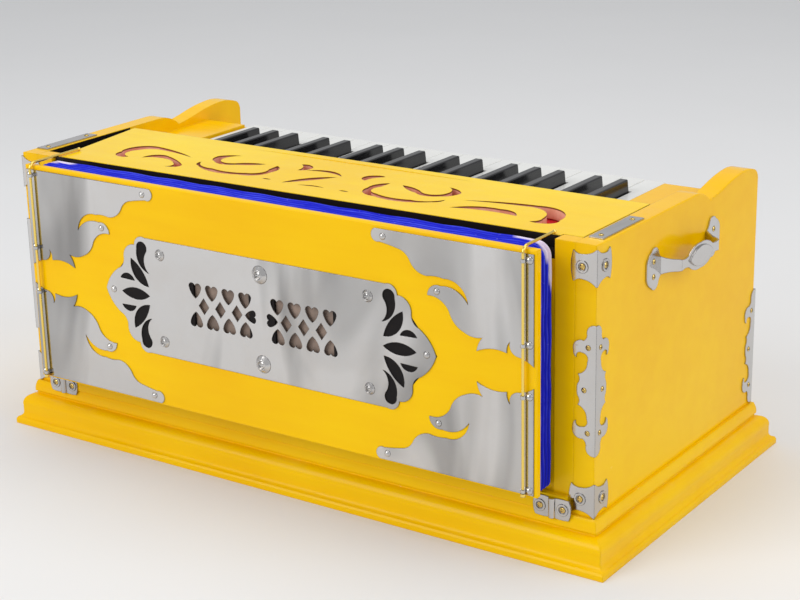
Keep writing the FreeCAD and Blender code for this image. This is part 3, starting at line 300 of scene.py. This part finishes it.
def enamel_skin():
    """Brushed and slightly pitted gloss paint: broad tint, brush lines and fine orange peel."""
    graph, given, put = effect_group("Enamel skin", [("Vector", "vector", None), ("Brush", "value", 60.0)],
                                     [("Tint", "value"), ("Dull", "value"), ("Height", "value")])
    place = given["Vector"]
    broad = graph.noise(place, 5.0, 3.0)
    lines = graph.noise(graph.stretch(place, (0.12, 1.0, 1.0)), given["Brush"], 3.0, 0.6)
    peel = graph.noise(place, 420.0, 1.0)
    waves = graph.noise(place, 38.0, 1.5)
    put("Tint", graph.math("ADD", graph.times(broad, 0.7), graph.times(lines, 0.3)))
    put("Dull", graph.spread(graph.noise(place, 22.0, 5.0, 0.65), 0.42, 0.72))
    high = graph.math("ADD", graph.times(peel, 0.16), graph.times(lines, 0.34))
    put("Height", graph.math("ADD", high, graph.times(waves, 0.5)))
    return graph.tree


def edge_wear():
    """Where the surface turns within a radius: a rounded normal, and a broken mask of rubbed edges."""
    graph, given, put = effect_group("Edge wear", [("Vector", "vector", None), ("Radius", "value", 0.001)],
                                     [("Worn", "value"), ("Soft", "vector"), ("Turn", "value")])
    soft = graph.node("Bevel", {"Radius": given["Radius"]}, samples=6).outputs["Normal"]
    plain = graph.node("NewGeometry").outputs["Normal"]
    turn = graph.math("SUBTRACT", 1.0, graph.dot(soft, plain))
    edge = graph.spread(turn, 0.02, 0.16)
    broken = graph.spread(graph.noise(given["Vector"], 75.0, 4.0, 0.7), 0.60, 0.68)
    rare = graph.spread(graph.noise(given["Vector"], 9.0, 1.0), 0.52, 0.62)
    put("Worn", graph.times(edge, broken, rare))
    put("Soft", soft)
    put("Turn", edge)
    return graph.tree


def plate_skin():
    """Thin polished sheet: slow ripples, faint wipe marks, a haze of tarnish and streaks for painted
    reflections.
    """
    graph, given, put = effect_group("Plate skin", [("Vector", "vector", None), ("Ripple", "value", 14.0)],
                                     [("Haze", "value"), ("Smear", "value"), ("Bloom", "value"),
                                      ("Height", "value")])
    place = given["Vector"]
    ripple = graph.noise(place, given["Ripple"], 1.0)
    # streaks for painted dark reflections in the plating
    swirl = graph.node("TexNoise", {"Vector": graph.stretch(place, (1.0, 1.0, 0.35)), "Scale": 8.0,
                                    "Detail": 2.5, "Distortion": 1.6}).outputs["Fac"]
    put("Bloom", graph.spread(swirl, 0.50, 0.74))
    wipes = graph.noise(graph.stretch(place, (1.0, 1.0, 0.06)), 160.0, 3.0, 0.6)
    pits = graph.spread(graph.noise(place, 320.0, 2.0), 0.66, 0.72)
    put("Haze", graph.spread(graph.noise(place, 17.0, 5.0, 0.6), 0.45, 0.75))
    put("Smear", graph.math("ADD", graph.spread(wipes, 0.45, 0.7, 0.0, 0.7), pits, True))
    put("Height", graph.math("ADD", ripple, graph.times(wipes, 0.006)))
    return graph.tree


def cloth_weave():
    """Plain weave on the cloth's own lengths: warp over weft, with slubs and lint."""
    graph, given, put = effect_group("Cloth weave",
                                     [("Vector", "vector", None), ("Threads", "value", 1600.0)],
                                     [("Thread", "value"), ("Lint", "value"), ("Height", "value")])
    place = given["Vector"]
    ends = graph.split(place)
    warp = graph.math("SINE", graph.times(ends["X"], given["Threads"]))
    weft = graph.math("SINE", graph.times(ends["Y"], given["Threads"]))
    over = graph.times(warp, weft)
    slub = graph.noise(graph.stretch(place, (1.0, 12.0, 1.0)), 90.0, 4.0, 0.7)
    put("Thread", graph.math("ADD", graph.times(over, 0.25), slub))
    put("Lint", graph.spread(graph.noise(place, 240.0, 3.0, 0.75), 0.66, 0.76))
    put("Height", graph.math("ADD", graph.times(over, 0.35), slub))
    return graph.tree


def wood_grain():
    """Straight grain along X: stretched rings with fine pores."""
    graph, given, put = effect_group("Wood grain", [("Vector", "vector", None), ("Rings", "value", 90.0)],
                                     [("Grain", "value"), ("Pores", "value"), ("Height", "value")])
    long = graph.stretch(given["Vector"], (0.07, 1.0, 1.0))
    rings = graph.noise(long, given["Rings"], 4.0, 0.6)
    pores = graph.spread(graph.noise(graph.stretch(long, (0.4, 1.0, 1.0)), 900.0, 2.0), 0.55, 0.68)
    put("Grain", graph.spread(rings, 0.32, 0.68))
    put("Pores", pores)
    put("Height", graph.math("SUBTRACT", rings, graph.times(pores, 0.4)))
    return graph.tree


def settled_dust():
    """Thin dust on faces that look up, thicker in patches."""
    graph, given, put = effect_group("Settled dust", [("Vector", "vector", None)], [("Dust", "value")])
    up = graph.split(graph.node("NewGeometry").outputs["Normal"])["Z"]
    patch = graph.spread(graph.noise(given["Vector"], 30.0, 5.0, 0.7), 0.50, 0.80)
    put("Dust", graph.times(graph.spread(up, 0.55, 0.98), patch))
    return graph.tree


EFFECTS = {}


def effect(maker):
    """The node group of that effect, built once."""
    if maker.__name__ not in EFFECTS:
        EFFECTS[maker.__name__] = maker()
    return EFFECTS[maker.__name__]


def new_material(name):
    """A material as (material, graph, shader, object coordinates)."""
    material = bpy.data.materials.new(name)
    material.use_nodes = True
    graph = Graph(material.node_tree)
    shader = material.node_tree.nodes["Principled BSDF"]
    place = graph.node("TexCoord").outputs["Object"]
    return material, graph, shader, place


def shade(colour_value, factor):
    return tuple(channel * factor for channel in colour_value)


# Finishes

def enamel(name, yellow, settings, hollow=False, cut_walls=False):
    """Gloss enamel: warm tint changes, brush lines, worn and rounded edges, dust on the ledges."""
    material, graph, shader, place = new_material(name)
    skin = graph.effect(effect(enamel_skin), Vector=place)
    wear = graph.effect(effect(edge_wear), Vector=place, Radius=settings.edge_round)
    dust = graph.effect(effect(settled_dust), Vector=place)["Dust"]
    deep = (yellow[0] * 0.97, yellow[1] * 0.90, yellow[2])
    light = (min(yellow[0] * 1.03, 1.0), yellow[1] * 1.07, yellow[2])
    base = graph.mix(graph.spread(skin["Tint"], 0.35, 0.65), deep, light)
    base = graph.mix(graph.times(dust, 0.05), base, settings.dust)
    base = graph.mix(graph.times(wear["Worn"], 0.85), base, settings.primer)
    rough = graph.spread(skin["Dull"], 0.0, 1.0, settings.gloss, settings.gloss + 0.12)
    if cut_walls:
        # painted reflected light: pink from the red cloth on the cut walls
        base = graph.mix(fretwork_walls(graph, place), base, cut_edge(graph, place))
    # painted shade: the gap faces round the lid turn near-black
    base = graph.mix(painted_gap_shade(graph, place), base, settings.gap_shade)
    if hollow:
        inside = behind_long_plate(graph, place)
        # near-black board behind the long plate's openings
        base = graph.mix(inside, base, settings.behind_plate_dark)
        rough = graph.math("MAXIMUM", rough, graph.times(inside, 0.75))
    graph.fill(shader.inputs["Base Color"], base)
    graph.fill(shader.inputs["Roughness"], rough)
    graph.fill(shader.inputs["Normal"], graph.bump(skin["Height"], 0.00022, wear["Soft"], 0.55))
    shader.inputs["Specular IOR Level"].default_value = 0.14
    return material


def behind_long_plate(graph, place):
    """One where the board lies behind the long plate's openings, which is coloured near-black there."""
    low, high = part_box("grille_plate")
    middle = (low.z + high.z) / 2
    parts = graph.split(place)
    across = graph.math("ABSOLUTE", parts["X"])
    tall = graph.times(graph.math("SUBTRACT", high.x - DARK_PATCH_END, across), DARK_PATCH_SLOPE)
    tall = graph.math("MINIMUM", graph.math("ADD", tall, DARK_PATCH_END_HALF), DARK_PATCH_HALF)
    away = graph.math("ABSOLUTE", graph.math("SUBTRACT", parts["Z"], middle))
    return graph.step(graph.math("SUBTRACT", tall, away), 0.0, DARK_PATCH_BLEND)


def painted_gap_shade(graph, place):
    """One on the faces round the lid that take painted shade: behind its rear edge and down its sides."""
    low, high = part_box("lid")
    wall_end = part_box("rear_frame")[0].y + REAR_WALL
    parts = graph.split(place)
    across = graph.math("ABSOLUTE", parts["X"])
    below = graph.times(graph.step(parts["Z"], high.z - PAINT_LIP, -PAINT_LIP),
                        graph.step(parts["Y"], low.y - GAP_SHADE_REAR, BLEND))
    behind = graph.times(graph.step(across, CHEEK_INSIDE, -SHARP),
                         graph.step(parts["Y"], low.y + GAP_SHADE_FRONT, -BLEND),
                         graph.step(parts["Z"], high.z - GAP_SHADE_DEEP, 2 * SHARP))
    beside = graph.times(graph.step(across, SIDE_INSIDE, SHARP),
                         graph.step(across, high.x + SIDE_GAP, -SHARP),
                         graph.step(parts["Y"], wall_end, BLEND),
                         graph.step(parts["Y"], high.y + BLEND, -BLEND))
    return graph.times(below, graph.math("MAXIMUM", behind, beside))


def cut_edge(graph, place):
    """Raw wood of the cut-outs' walls, with painted pink light reflected from the red cloth, dark brown along
    the top.
    """
    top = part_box("lid")[1].z
    tone = graph.spread(graph.noise(place, 60.0, 4.0, 0.6), 0.35, 0.65)
    cloth_reflection = graph.mix(tone, CLOTH_GLOW_PALE, CLOTH_GLOW_PINK)
    # dark brown along the top of the cut walls
    dark_rim = graph.step(graph.split(place)["Z"], top - DARK_RIM_DEPTH, DARK_RIM_BLEND)
    return graph.mix(dark_rim, cloth_reflection, CUT_TOP_DARK)


def fretwork_walls(graph, place):
    """One on the upright walls of the lid's cut-outs, which take painted light reflected from the red cloth.
    """
    low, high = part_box("lid")
    up = graph.math("ABSOLUTE", graph.split(graph.node("NewGeometry").outputs["Normal"])["Z"])
    parts = graph.split(place)
    return graph.times(graph.spread(up, 0.6, 0.4),
                       graph.step(graph.math("ABSOLUTE", parts["X"]), FRET_HALF, -FRET_BLEND),
                       graph.step(parts["Y"], low.y + FRET_REAR, FRET_BLEND),
                       graph.step(parts["Y"], high.y - FRET_FRONT, -FRET_BLEND))


def plated(name, metal, rough, ripple, height, painted_reflection=0.0):
    """Bright plating: slow ripples, wipe marks, a warm haze, painted grey reflection streaks, and painted
    dark reflections where edges turn.
    """
    material, graph, shader, place = new_material(name)
    skin = graph.effect(effect(plate_skin), Vector=place, Ripple=ripple)
    wear = graph.effect(effect(edge_wear), Vector=place, Radius=0.0008)
    tarnish = (metal[0] * 0.86, metal[1] * 0.80, metal[2] * 0.74)
    base = graph.mix(graph.times(skin["Haze"], 0.35), metal, tarnish)
    # painted reflection: grey streaks over the plating
    base = graph.mix(graph.times(skin["Bloom"], painted_reflection), base, shade(metal, 0.30))
    # painted dark reflection and shade where the plating's edges turn
    base = graph.mix(graph.times(wear["Turn"], 0.92), base, shade(metal, 0.10))
    graph.fill(shader.inputs["Base Color"], base)
    graph.fill(shader.inputs["Roughness"], graph.spread(skin["Smear"], 0.0, 1.0, rough, rough + 0.16))
    graph.fill(shader.inputs["Normal"], graph.bump(skin["Height"], height, wear["Soft"], 0.6))
    shader.inputs["Metallic"].default_value = 1.0
    return material


def key_cap(name, cap, wood, level, rough):
    """A moulded cap over a wooden lever: wood below the level, gloss plastic above it."""
    material, graph, shader, place = new_material(name)
    above = graph.spread(graph.split(place)["Z"], level, level + 0.0002)
    grain = graph.effect(effect(wood_grain), Vector=graph.node(
        "Mapping", {"Vector": place, "Rotation": (0.0, 0.0, np.pi / 2)}).outputs["Vector"], Rings=160.0)
    worn = graph.noise(place, 26.0, 4.0, 0.6)
    wear = graph.effect(effect(edge_wear), Vector=place, Radius=0.0006)
    timber = graph.mix(grain["Grain"], shade(wood, 0.72), wood)
    plastic = graph.mix(graph.spread(worn, 0.35, 0.75), cap, shade(cap, 0.93))
    graph.fill(shader.inputs["Base Color"], graph.mix(above, timber, plastic))
    gloss = graph.spread(worn, 0.3, 0.8, rough, rough + 0.14)
    graph.fill(shader.inputs["Roughness"], graph.math("ADD", gloss, graph.spread(above, 0.0, 1.0, 0.4, 0.0)))
    height = graph.math("ADD", graph.times(grain["Height"], graph.spread(above, 0.0, 1.0, 1.0, 0.0)),
                        graph.times(worn, 0.3))
    graph.fill(shader.inputs["Normal"], graph.bump(height, 0.0001, wear["Soft"], 0.5))
    return material


def boards(name, wood):
    """Bare softwood with straight grain and open pores."""
    material, graph, shader, place = new_material(name)
    grain = graph.effect(effect(wood_grain), Vector=place, Rings=70.0)
    tone = graph.spread(graph.noise(place, 6.0, 3.0), 0.3, 0.7)
    base = graph.mix(grain["Grain"], shade(wood, 0.62), wood)
    base = graph.mix(graph.times(tone, 0.3), base, shade(wood, 1.25))
    base = graph.mix(graph.times(grain["Pores"], 0.4), base, shade(wood, 0.35))
    graph.fill(shader.inputs["Base Color"], base)
    graph.fill(shader.inputs["Roughness"], graph.spread(grain["Grain"], 0.0, 1.0, 0.62, 0.48))
    graph.fill(shader.inputs["Normal"], graph.bump(grain["Height"], 0.0003, None, 0.6))
    return material


def hide(name, leather):
    """Soft leather: pebbled, with lighter rubbed high spots."""
    material, graph, shader, place = new_material(name)
    pebble = graph.node("TexVoronoi", {"Vector": place, "Scale": 700.0}).outputs["Distance"]
    rub = graph.noise(place, 40.0, 4.0, 0.6)
    base = graph.mix(graph.spread(rub, 0.4, 0.7), leather, shade(leather, 1.7))
    graph.fill(shader.inputs["Base Color"], base)
    graph.fill(shader.inputs["Roughness"], graph.spread(rub, 0.3, 0.8, 0.55, 0.8))
    graph.fill(shader.inputs["Normal"], graph.bump(pebble, 0.0002, None, 0.5))
    return material


def turned_knob(name, black):
    """Moulded black knob with faint turning rings and fingerprints."""
    material, graph, shader, place = new_material(name)
    prints = graph.noise(place, 120.0, 4.0, 0.6)
    rings = graph.math("SINE", graph.times(graph.split(place)["Y"], 9000.0))
    base = graph.mix(graph.spread(prints, 0.4, 0.7), black, shade(black, 1.8))
    graph.fill(shader.inputs["Base Color"], base)
    graph.fill(shader.inputs["Roughness"], graph.spread(prints, 0.35, 0.75, 0.16, 0.36))
    graph.fill(shader.inputs["Normal"], graph.bump(rings, 0.00003, None, 0.4))
    return material


def cotton(name, dye, lint, settings, pleated):
    """Woven cotton on the cloth's own lengths; where it is pleated, painted shade in the valleys, painted
    highlights on the ridges and pale lining.
    """
    material, graph, shader, _ = new_material(name)
    along = graph.node("UVMap", uv_map="lengths").outputs["UV"]
    weave = graph.effect(effect(cloth_weave), Vector=along, Threads=9000.0)
    base = graph.mix(graph.spread(weave["Thread"], 0.3, 0.75), shade(dye, 0.72), dye)
    if pleated:
        ridge = graph.node("Attribute", attribute_name="ridge").outputs["Fac"]
        lining = graph.node("Attribute", attribute_name="lining").outputs["Fac"]
        streak = graph.noise(graph.stretch(along, (6.0, 60.0, 1.0)), 2.0, 4.0, 0.7)
        # painted highlight along the pleats' ridges
        ridge_highlight = graph.times(graph.spread(ridge, 0.86, 1.0), graph.spread(streak, 0.40, 0.62))
        # painted shade: the pleats' valleys turn dark
        base = graph.mix(graph.spread(ridge, 0.05, 0.80, 0.97, 0.0), base, shade(dye, 0.06))
        base = graph.mix(graph.times(ridge_highlight, 0.70), base, settings.ridge_highlight_blue)
        base = graph.mix(lining, base, settings.lining)
    base = graph.mix(graph.times(weave["Lint"], 0.35), base, lint)
    graph.fill(shader.inputs["Base Color"], base)
    graph.fill(shader.inputs["Roughness"], graph.spread(weave["Thread"], 0.3, 0.8, 0.62, 0.86))
    graph.fill(shader.inputs["Normal"], graph.bump(weave["Height"], 0.00012, None, 0.5))
    shader.inputs["Specular IOR Level"].default_value = 0.2
    return material


# Surfaces

def grid_mesh(name, points, uv, closed, attributes=()):
    """A mesh from points[i, j]: quads between neighbours, with the last row joined to the first when
    closed. uv[i, j] gives each corner its lengths, and each attribute is one number per point."""
    rows, columns = points.shape[:2]
    steps = rows if closed else rows - 1
    i = np.arange(steps)[:, None]
    j = np.arange(columns - 1)[None, :]
    after = (i + 1) % rows
    quads = np.stack([i * columns + j, after * columns + j, after * columns + j + 1, i * columns + j + 1], -1)
    quads = quads.reshape(-1, 4)
    corners = np.stack([uv[i, j], uv[i + 1, j], uv[i + 1, j + 1], uv[i, j + 1]], 2).reshape(-1, 2)
    mesh = bpy.data.meshes.new(name)
    mesh.from_pydata(points.reshape(-1, 3), [], quads)
    layer = mesh.uv_layers.new(name="lengths")
    layer.data.foreach_set("uv", corners.astype(np.float32).ravel())
    for label, values in attributes:
        data = mesh.attributes.new(label, "FLOAT", "POINT").data
        data.foreach_set("value", values.astype(np.float32).ravel())
    mesh.shade_smooth()
    made = bpy.data.objects.new(name, mesh)
    bpy.context.scene.collection.objects.link(made)
    return made


def rounded_loop(half, low, high, radius, foot_radius, spacing):
    """A closed loop round the bellows seen from behind: straight sides, arcs at the corners. Gives
    points (x, z), outward directions and the length along the loop, evenly spaced on each stretch."""
    corners = [(half - radius, high - radius, radius, 0.0), (-half + radius, high - radius, radius, 90.0),
               (-half + foot_radius, low + foot_radius, foot_radius, 180.0),
               (half - foot_radius, low + foot_radius, foot_radius, 270.0)]
    points, outward = [], []
    for index, (x, z, r, start) in enumerate(corners):
        count = max(6, int(r * np.pi / 2 / spacing * 3))
        angle = np.radians(start + np.linspace(0.0, 90.0, count))
        turn = np.stack([np.cos(angle), np.sin(angle)], -1)
        arc = np.array([x, z]) + r * turn
        follow = corners[(index + 1) % 4]
        far = np.radians(follow[3])
        end = np.array(follow[:2]) + follow[2] * np.array([np.cos(far), np.sin(far)])
        steps = max(2, int(np.linalg.norm(end - arc[-1]) / spacing))
        blend = np.linspace(0.0, 1.0, steps + 1)[1:-1, None]
        points += [arc, arc[-1] * (1 - blend) + end * blend]
        outward += [turn, np.repeat(turn[-1:], len(blend), 0)]
    points = np.concatenate(points)
    outward = np.concatenate(outward)
    gaps = np.linalg.norm(np.roll(points, -1, 0) - points, axis=1)
    return points, outward, np.concatenate([[0.0], np.cumsum(gaps)])


def pleat_wave(across, count):
    """Ridges at one and valleys at nought: a triangle wave whose ridges are slightly rounded."""
    rise = 1.0 - np.abs(2.0 * np.mod(across * count, 1.0) - 1.0)
    blunt = 0.10
    return 1.0 + blunt - np.sqrt((1.0 - rise) ** 2 + blunt ** 2)


def bellows_surface(settings):
    """point(s, t) = loop(s) - outward(s) * depth(s) * (1 - wave(t)), with y from the case at t = 0 to
    the board at t = 1. The depth shrinks along the foot, whose pleats meet at the hinge. A slow wave
    along the loop lets the ridges wander a little, as folded cloth does."""
    low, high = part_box("bellows_folds")
    half = high.x - SIDE_CLEAR
    loop, outward, run = rounded_loop(half, low.z, high.z - TOP_CLEAR, settings.corner_radius, FOOT_RADIUS,
                                      LOOP_SPACING)
    across = np.linspace(0.0, 1.0, settings.pleats * STEPS_PER_PLEAT + 1)
    total = run[-1]
    phase = run[:-1, None] / total * 2 * np.pi
    level = np.clip((loop[:, 1] - low.z) / FOOT_RISE, 0.0, 1.0)[:, None]
    wander = 0.012 * np.sin(17 * phase + 5 * across) + 0.008 * np.sin(41 * phase + 2.0)
    wave = np.clip(pleat_wave(across[None, :] + wander * np.sin(np.pi * across), settings.pleats), 0.0, 1.0)
    depth = settings.pleat_depth * (0.25 + 0.75 * level)
    inset = depth * (1.0 - wave) + 0.0003 * (1 + np.sin(29 * phase + 3 * across))
    flat = loop[:, None, :] - outward[:, None, :] * inset[..., None]
    reach = high.y - low.y
    depth_y = np.broadcast_to(high.y - reach * across[None, :], flat.shape[:2])
    points = np.stack([flat[..., 0], depth_y, flat[..., 1]], -1)
    fold = settings.pleat_depth * (1 - pleat_wave(across, settings.pleats))
    climb = np.hypot(reach / (len(across) - 1), np.diff(fold))
    profile = np.concatenate([[0.0], np.cumsum(climb)])
    uv = np.stack(np.broadcast_arrays(run[:, None], profile[None, :]), -1)
    down = high.z - settings.corner_radius - loop[:, 1]
    inward = half - settings.corner_radius - np.abs(loop[:, 0])
    below = np.clip(1.0 - down / settings.lining_side, 0.0, 1.0)
    beside = np.clip(1.0 - inward / settings.lining_top, 0.0, 1.0)
    near_corner = np.where(loop[:, 1] < high.z - 0.5 * settings.corner_radius, below, beside)
    edge = LINING_REACH * near_corner[:, None] + 0.015 * np.sin(60 * phase)
    lining = np.clip((edge - across[None, :]) / LINING_BLEND, 0.0, 1.0) * (near_corner[:, None] > 0)
    return points, uv, profile[-1], total, wave, lining


def stretched_cloth(low_x, high_x, low_y, high_y, level, sag):
    """z = level - sag * sin(pi s) * sin(pi t), with faint puckers along the glued edges."""
    s = np.linspace(0.0, 1.0, CLOTH_GRID[0])[:, None]
    t = np.linspace(0.0, 1.0, CLOTH_GRID[1])[None, :]
    x = np.broadcast_to(low_x + (high_x - low_x) * s, CLOTH_GRID)
    y = np.broadcast_to(low_y + (high_y - low_y) * t, CLOTH_GRID)
    hang = np.sin(np.pi * s) ** 0.6 * np.sin(np.pi * t)
    pucker = 0.00012 * np.sin(150 * s) * (np.exp(-9 * t) + np.exp(-9 * (1 - t))) * np.sin(np.pi * t)
    z = level - sag * hang - np.abs(pucker)
    points = np.stack([x, y, z], -1)
    uv = np.stack([x - low_x, y - low_y], -1)
    return points, uv


def thicken(made, thickness):
    """Gives a sheet its wall, inwards from the visible side."""
    wall = made.modifiers.new("Thickness", "SOLIDIFY")
    wall.thickness = thickness
    wall.offset = -1.0
    wall.use_even_offset = False


def paint(node_names, material):
    """Puts one finish on CAD nodes."""
    for name in node_names:
        mesh = frame["nodes"][name].data
        mesh.materials.clear()
        mesh.materials.append(material)


def nodes_of(slot, leave=()):
    return [name for name, given in MATERIAL_SLOT.items() if given == slot and name not in leave]


# Operators

class HARMONIUM_OT_case(bpy.types.Operator):
    """Enamels the plinth, cheeks, boards and lid, and gives the inner boards their grain"""
    bl_idname = "harmonium.case"
    bl_label = "Case"

    def execute(self, context):
        settings = context.scene.harmonium_paint
        board = ["bellows_board"]
        paint(nodes_of("yellow_paint", board), enamel("Case enamel", settings.case_yellow, settings))
        paint(board, enamel("Board enamel", settings.case_yellow, settings, hollow=True))
        paint(nodes_of("lid_paint"), enamel("Lid enamel", settings.lid_yellow, settings, cut_walls=True))
        paint(nodes_of("bare_wood"), boards("Bare boards", settings.bare_wood))
        return {"FINISHED"}


class HARMONIUM_OT_fittings(bpy.types.Operator):
    """Plates the sheet metal, and finishes the screws, latch wires and reeds"""
    bl_idname = "harmonium.fittings"
    bl_label = "Fittings"

    def execute(self, context):
        settings = context.scene.harmonium_metal
        rough = settings.nickel_rough
        large = ["grille_plate", "corner_plates"]
        paint(large, plated("Rippled nickel", settings.nickel, rough, ripple=11.0, height=0.0011, painted_reflection=0.75))
        paint(nodes_of("plated_sheet", large),
              plated("Bright nickel", settings.nickel, rough + 0.03, ripple=60.0, height=0.0003, painted_reflection=0.35))
        paint(nodes_of("screw_brass"),
              plated("Screw brass", settings.brass, 0.16, ripple=200.0, height=0.0002))
        paint(nodes_of("spring_wire"),
              plated("Wire gold", settings.wire_gold, 0.14, ripple=200.0, height=0.0002))
        paint(nodes_of("reed_brass"),
              plated("Reed brass", shade(settings.brass, 0.8), 0.32, ripple=300.0, height=0.0002))
        return {"FINISHED"}


class HARMONIUM_OT_keyboard(bpy.types.Operator):
    """Finishes the white and black keys and the stop knobs"""
    bl_idname = "harmonium.keyboard"
    bl_label = "Keyboard and stops"

    def execute(self, context):
        settings = context.scene.harmonium_keys
        white = key_cap("White cap", settings.key_white, settings.lever_wood, settings.cap_level, 0.12)
        black = key_cap("Black cap", settings.key_black, settings.lever_wood, settings.sharp_level, 0.10)
        paint(nodes_of("key_white"), white)
        paint(nodes_of("key_black"), black)
        paint(nodes_of("knob_black"), turned_knob("Knob", settings.knob_black))
        return {"FINISHED"}


class HARMONIUM_OT_bellows(bpy.types.Operator):
    """Folds the blue bellows cloth between the case and the board, and finishes the leather flap"""
    bl_idname = "harmonium.bellows"
    bl_label = "Bellows"

    def execute(self, context):
        settings = context.scene.harmonium_cloth
        points, uv, profile, around, ridge, lining = bellows_surface(settings)
        cloth = grid_mesh("bellows_cloth", points, uv, True, (("ridge", ridge), ("lining", lining)))
        cloth.data.flip_normals()
        cloth.data.materials.append(cotton("Bellows cotton", settings.bellows_blue, (0.55, 0.56, 0.8),
                                           settings, True))
        thicken(cloth, settings.cloth_thick)
        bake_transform(cloth)
        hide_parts("bellows_folds")
        paint(nodes_of("flap_leather"), hide("Flap leather", settings.leather))
        return {"FINISHED"}


class HARMONIUM_OT_lid_cloth(bpy.types.Operator):
    """Stretches the red cloth under the fretwork lid"""
    bl_idname = "harmonium.lid_cloth"
    bl_label = "Lid cloth"

    def execute(self, context):
        settings = context.scene.harmonium_cloth
        low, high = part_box("lid")
        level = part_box("rear_frame")[1].z - CLOTH_BELOW
        points, uv = stretched_cloth(-CLOTH_HALF, CLOTH_HALF, low.y + CLOTH_REAR, high.y - CLOTH_FRONT, level,
                                     settings.lid_sag)
        cloth = grid_mesh("lid_cloth", points, uv, False)
        cloth.data.materials.append(cotton("Lid cotton", settings.lid_red, (0.9, 0.5, 0.5), settings, False))
        thicken(cloth, settings.cloth_thick)
        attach(cloth, "case")
        return {"FINISHED"}


def lamp(name, place, aim, size, power):
    """A square soft lamp that faces a point."""
    light = bpy.data.lights.new(name, "AREA")
    light.shape = "SQUARE"
    light.size = size
    light.energy = power
    holder = bpy.data.objects.new(name, light)
    bpy.context.scene.collection.objects.link(holder)
    holder.location = place
    holder.rotation_euler = (Vector(aim) - Vector(place)).to_track_quat("-Z", "Y").to_euler()


class HARMONIUM_OT_stage(bpy.types.Operator):
    """Lays the pale floor, hangs the soft lamps and sets the camera"""
    bl_idname = "harmonium.stage"
    bl_label = "Stage"

    def execute(self, context):
        settings = context.scene.harmonium_stage
        self.floor(settings)
        self.surround(context.scene, settings)
        for name, place, size, power in LAMPS:
            lamp(name, place, AIM, size, getattr(settings, power))
        self.camera(context.scene, settings)
        context.scene.view_settings.view_transform = "Standard"
        return {"FINISHED"}

    def floor(self, settings):
        """A square, slightly mottled sheet at the level of the instrument's foot."""
        reach = 7.0
        corners = np.array([[[-reach, -reach, 0.0], [reach, -reach, 0.0]],
                            [[-reach, reach, 0.0], [reach, reach, 0.0]]])
        sheet = grid_mesh("Floor", corners, corners[..., :2], False)
        sheet.data.flip_normals()
        material, graph, shader, place = new_material("Floor paper")
        grainy = graph.noise(place, 3.0, 4.0)
        graph.fill(shader.inputs["Base Color"], graph.mix(graph.spread(grainy, 0.3, 0.7),
                                                          shade(settings.floor, 0.985), settings.floor))
        shader.inputs["Roughness"].default_value = 0.9
        sheet.data.materials.append(material)

    def surround(self, scene, settings):
        world = bpy.data.worlds.new("Surround")
        world.use_nodes = True
        background = world.node_tree.nodes["Background"]
        background.inputs["Color"].default_value = tuple(settings.sky) + (1.0,)
        background.inputs["Strength"].default_value = settings.sky_strength
        scene.world = world

    def camera(self, scene, settings):
        right = Vector(settings.camera_right).normalized()
        up = Vector(settings.camera_up).normalized()
        matrix = Matrix((right, up, right.cross(up))).transposed().to_4x4()
        matrix.translation = settings.camera_place
        data = bpy.data.cameras.new("Camera")
        data.lens = settings.lens
        data.sensor_width = 36.0
        holder = bpy.data.objects.new("Camera", data)
        scene.collection.objects.link(holder)
        holder.matrix_world = matrix
        scene.camera = holder


STEPS = (HARMONIUM_OT_case, HARMONIUM_OT_fittings, HARMONIUM_OT_keyboard, HARMONIUM_OT_bellows,
         HARMONIUM_OT_lid_cloth, HARMONIUM_OT_stage)
SETTINGS = (("harmonium_paint", PaintSettings), ("harmonium_metal", MetalSettings),
            ("harmonium_cloth", ClothSettings), ("harmonium_keys", KeySettings),
            ("harmonium_stage", StageSettings))


class HARMONIUM_PT_panel(bpy.types.Panel):
    """Lists the steps that dress the harmonium"""
    bl_idname = "HARMONIUM_PT_panel"
    bl_label = "Harmonium"
    bl_space_type = "VIEW_3D"
    bl_region_type = "UI"
    bl_category = "Harmonium"

    def draw(self, context):
        for step in STEPS:
            self.layout.operator(step.bl_idname, text=step.bl_label)


def register():
    for name, group in SETTINGS:
        bpy.utils.register_class(group)
        setattr(bpy.types.Scene, name, PointerProperty(type=group))
    for step in STEPS + (HARMONIUM_PT_panel,):
        bpy.utils.register_class(step)


def unregister():
    for step in (HARMONIUM_PT_panel,) + STEPS[::-1]:
        bpy.utils.unregister_class(step)
    for name, group in SETTINGS:
        delattr(bpy.types.Scene, name)
        bpy.utils.unregister_class(group)


def plain(box):
    """A box's two corners as lists of numbers."""
    return [[float(value) for value in corner] for corner in box]


def main():
    register()
    for step in STEPS:
        family, action = step.bl_idname.split(".")
        getattr(getattr(bpy.ops, family), action)()


if __name__ == "__main__":
    main()
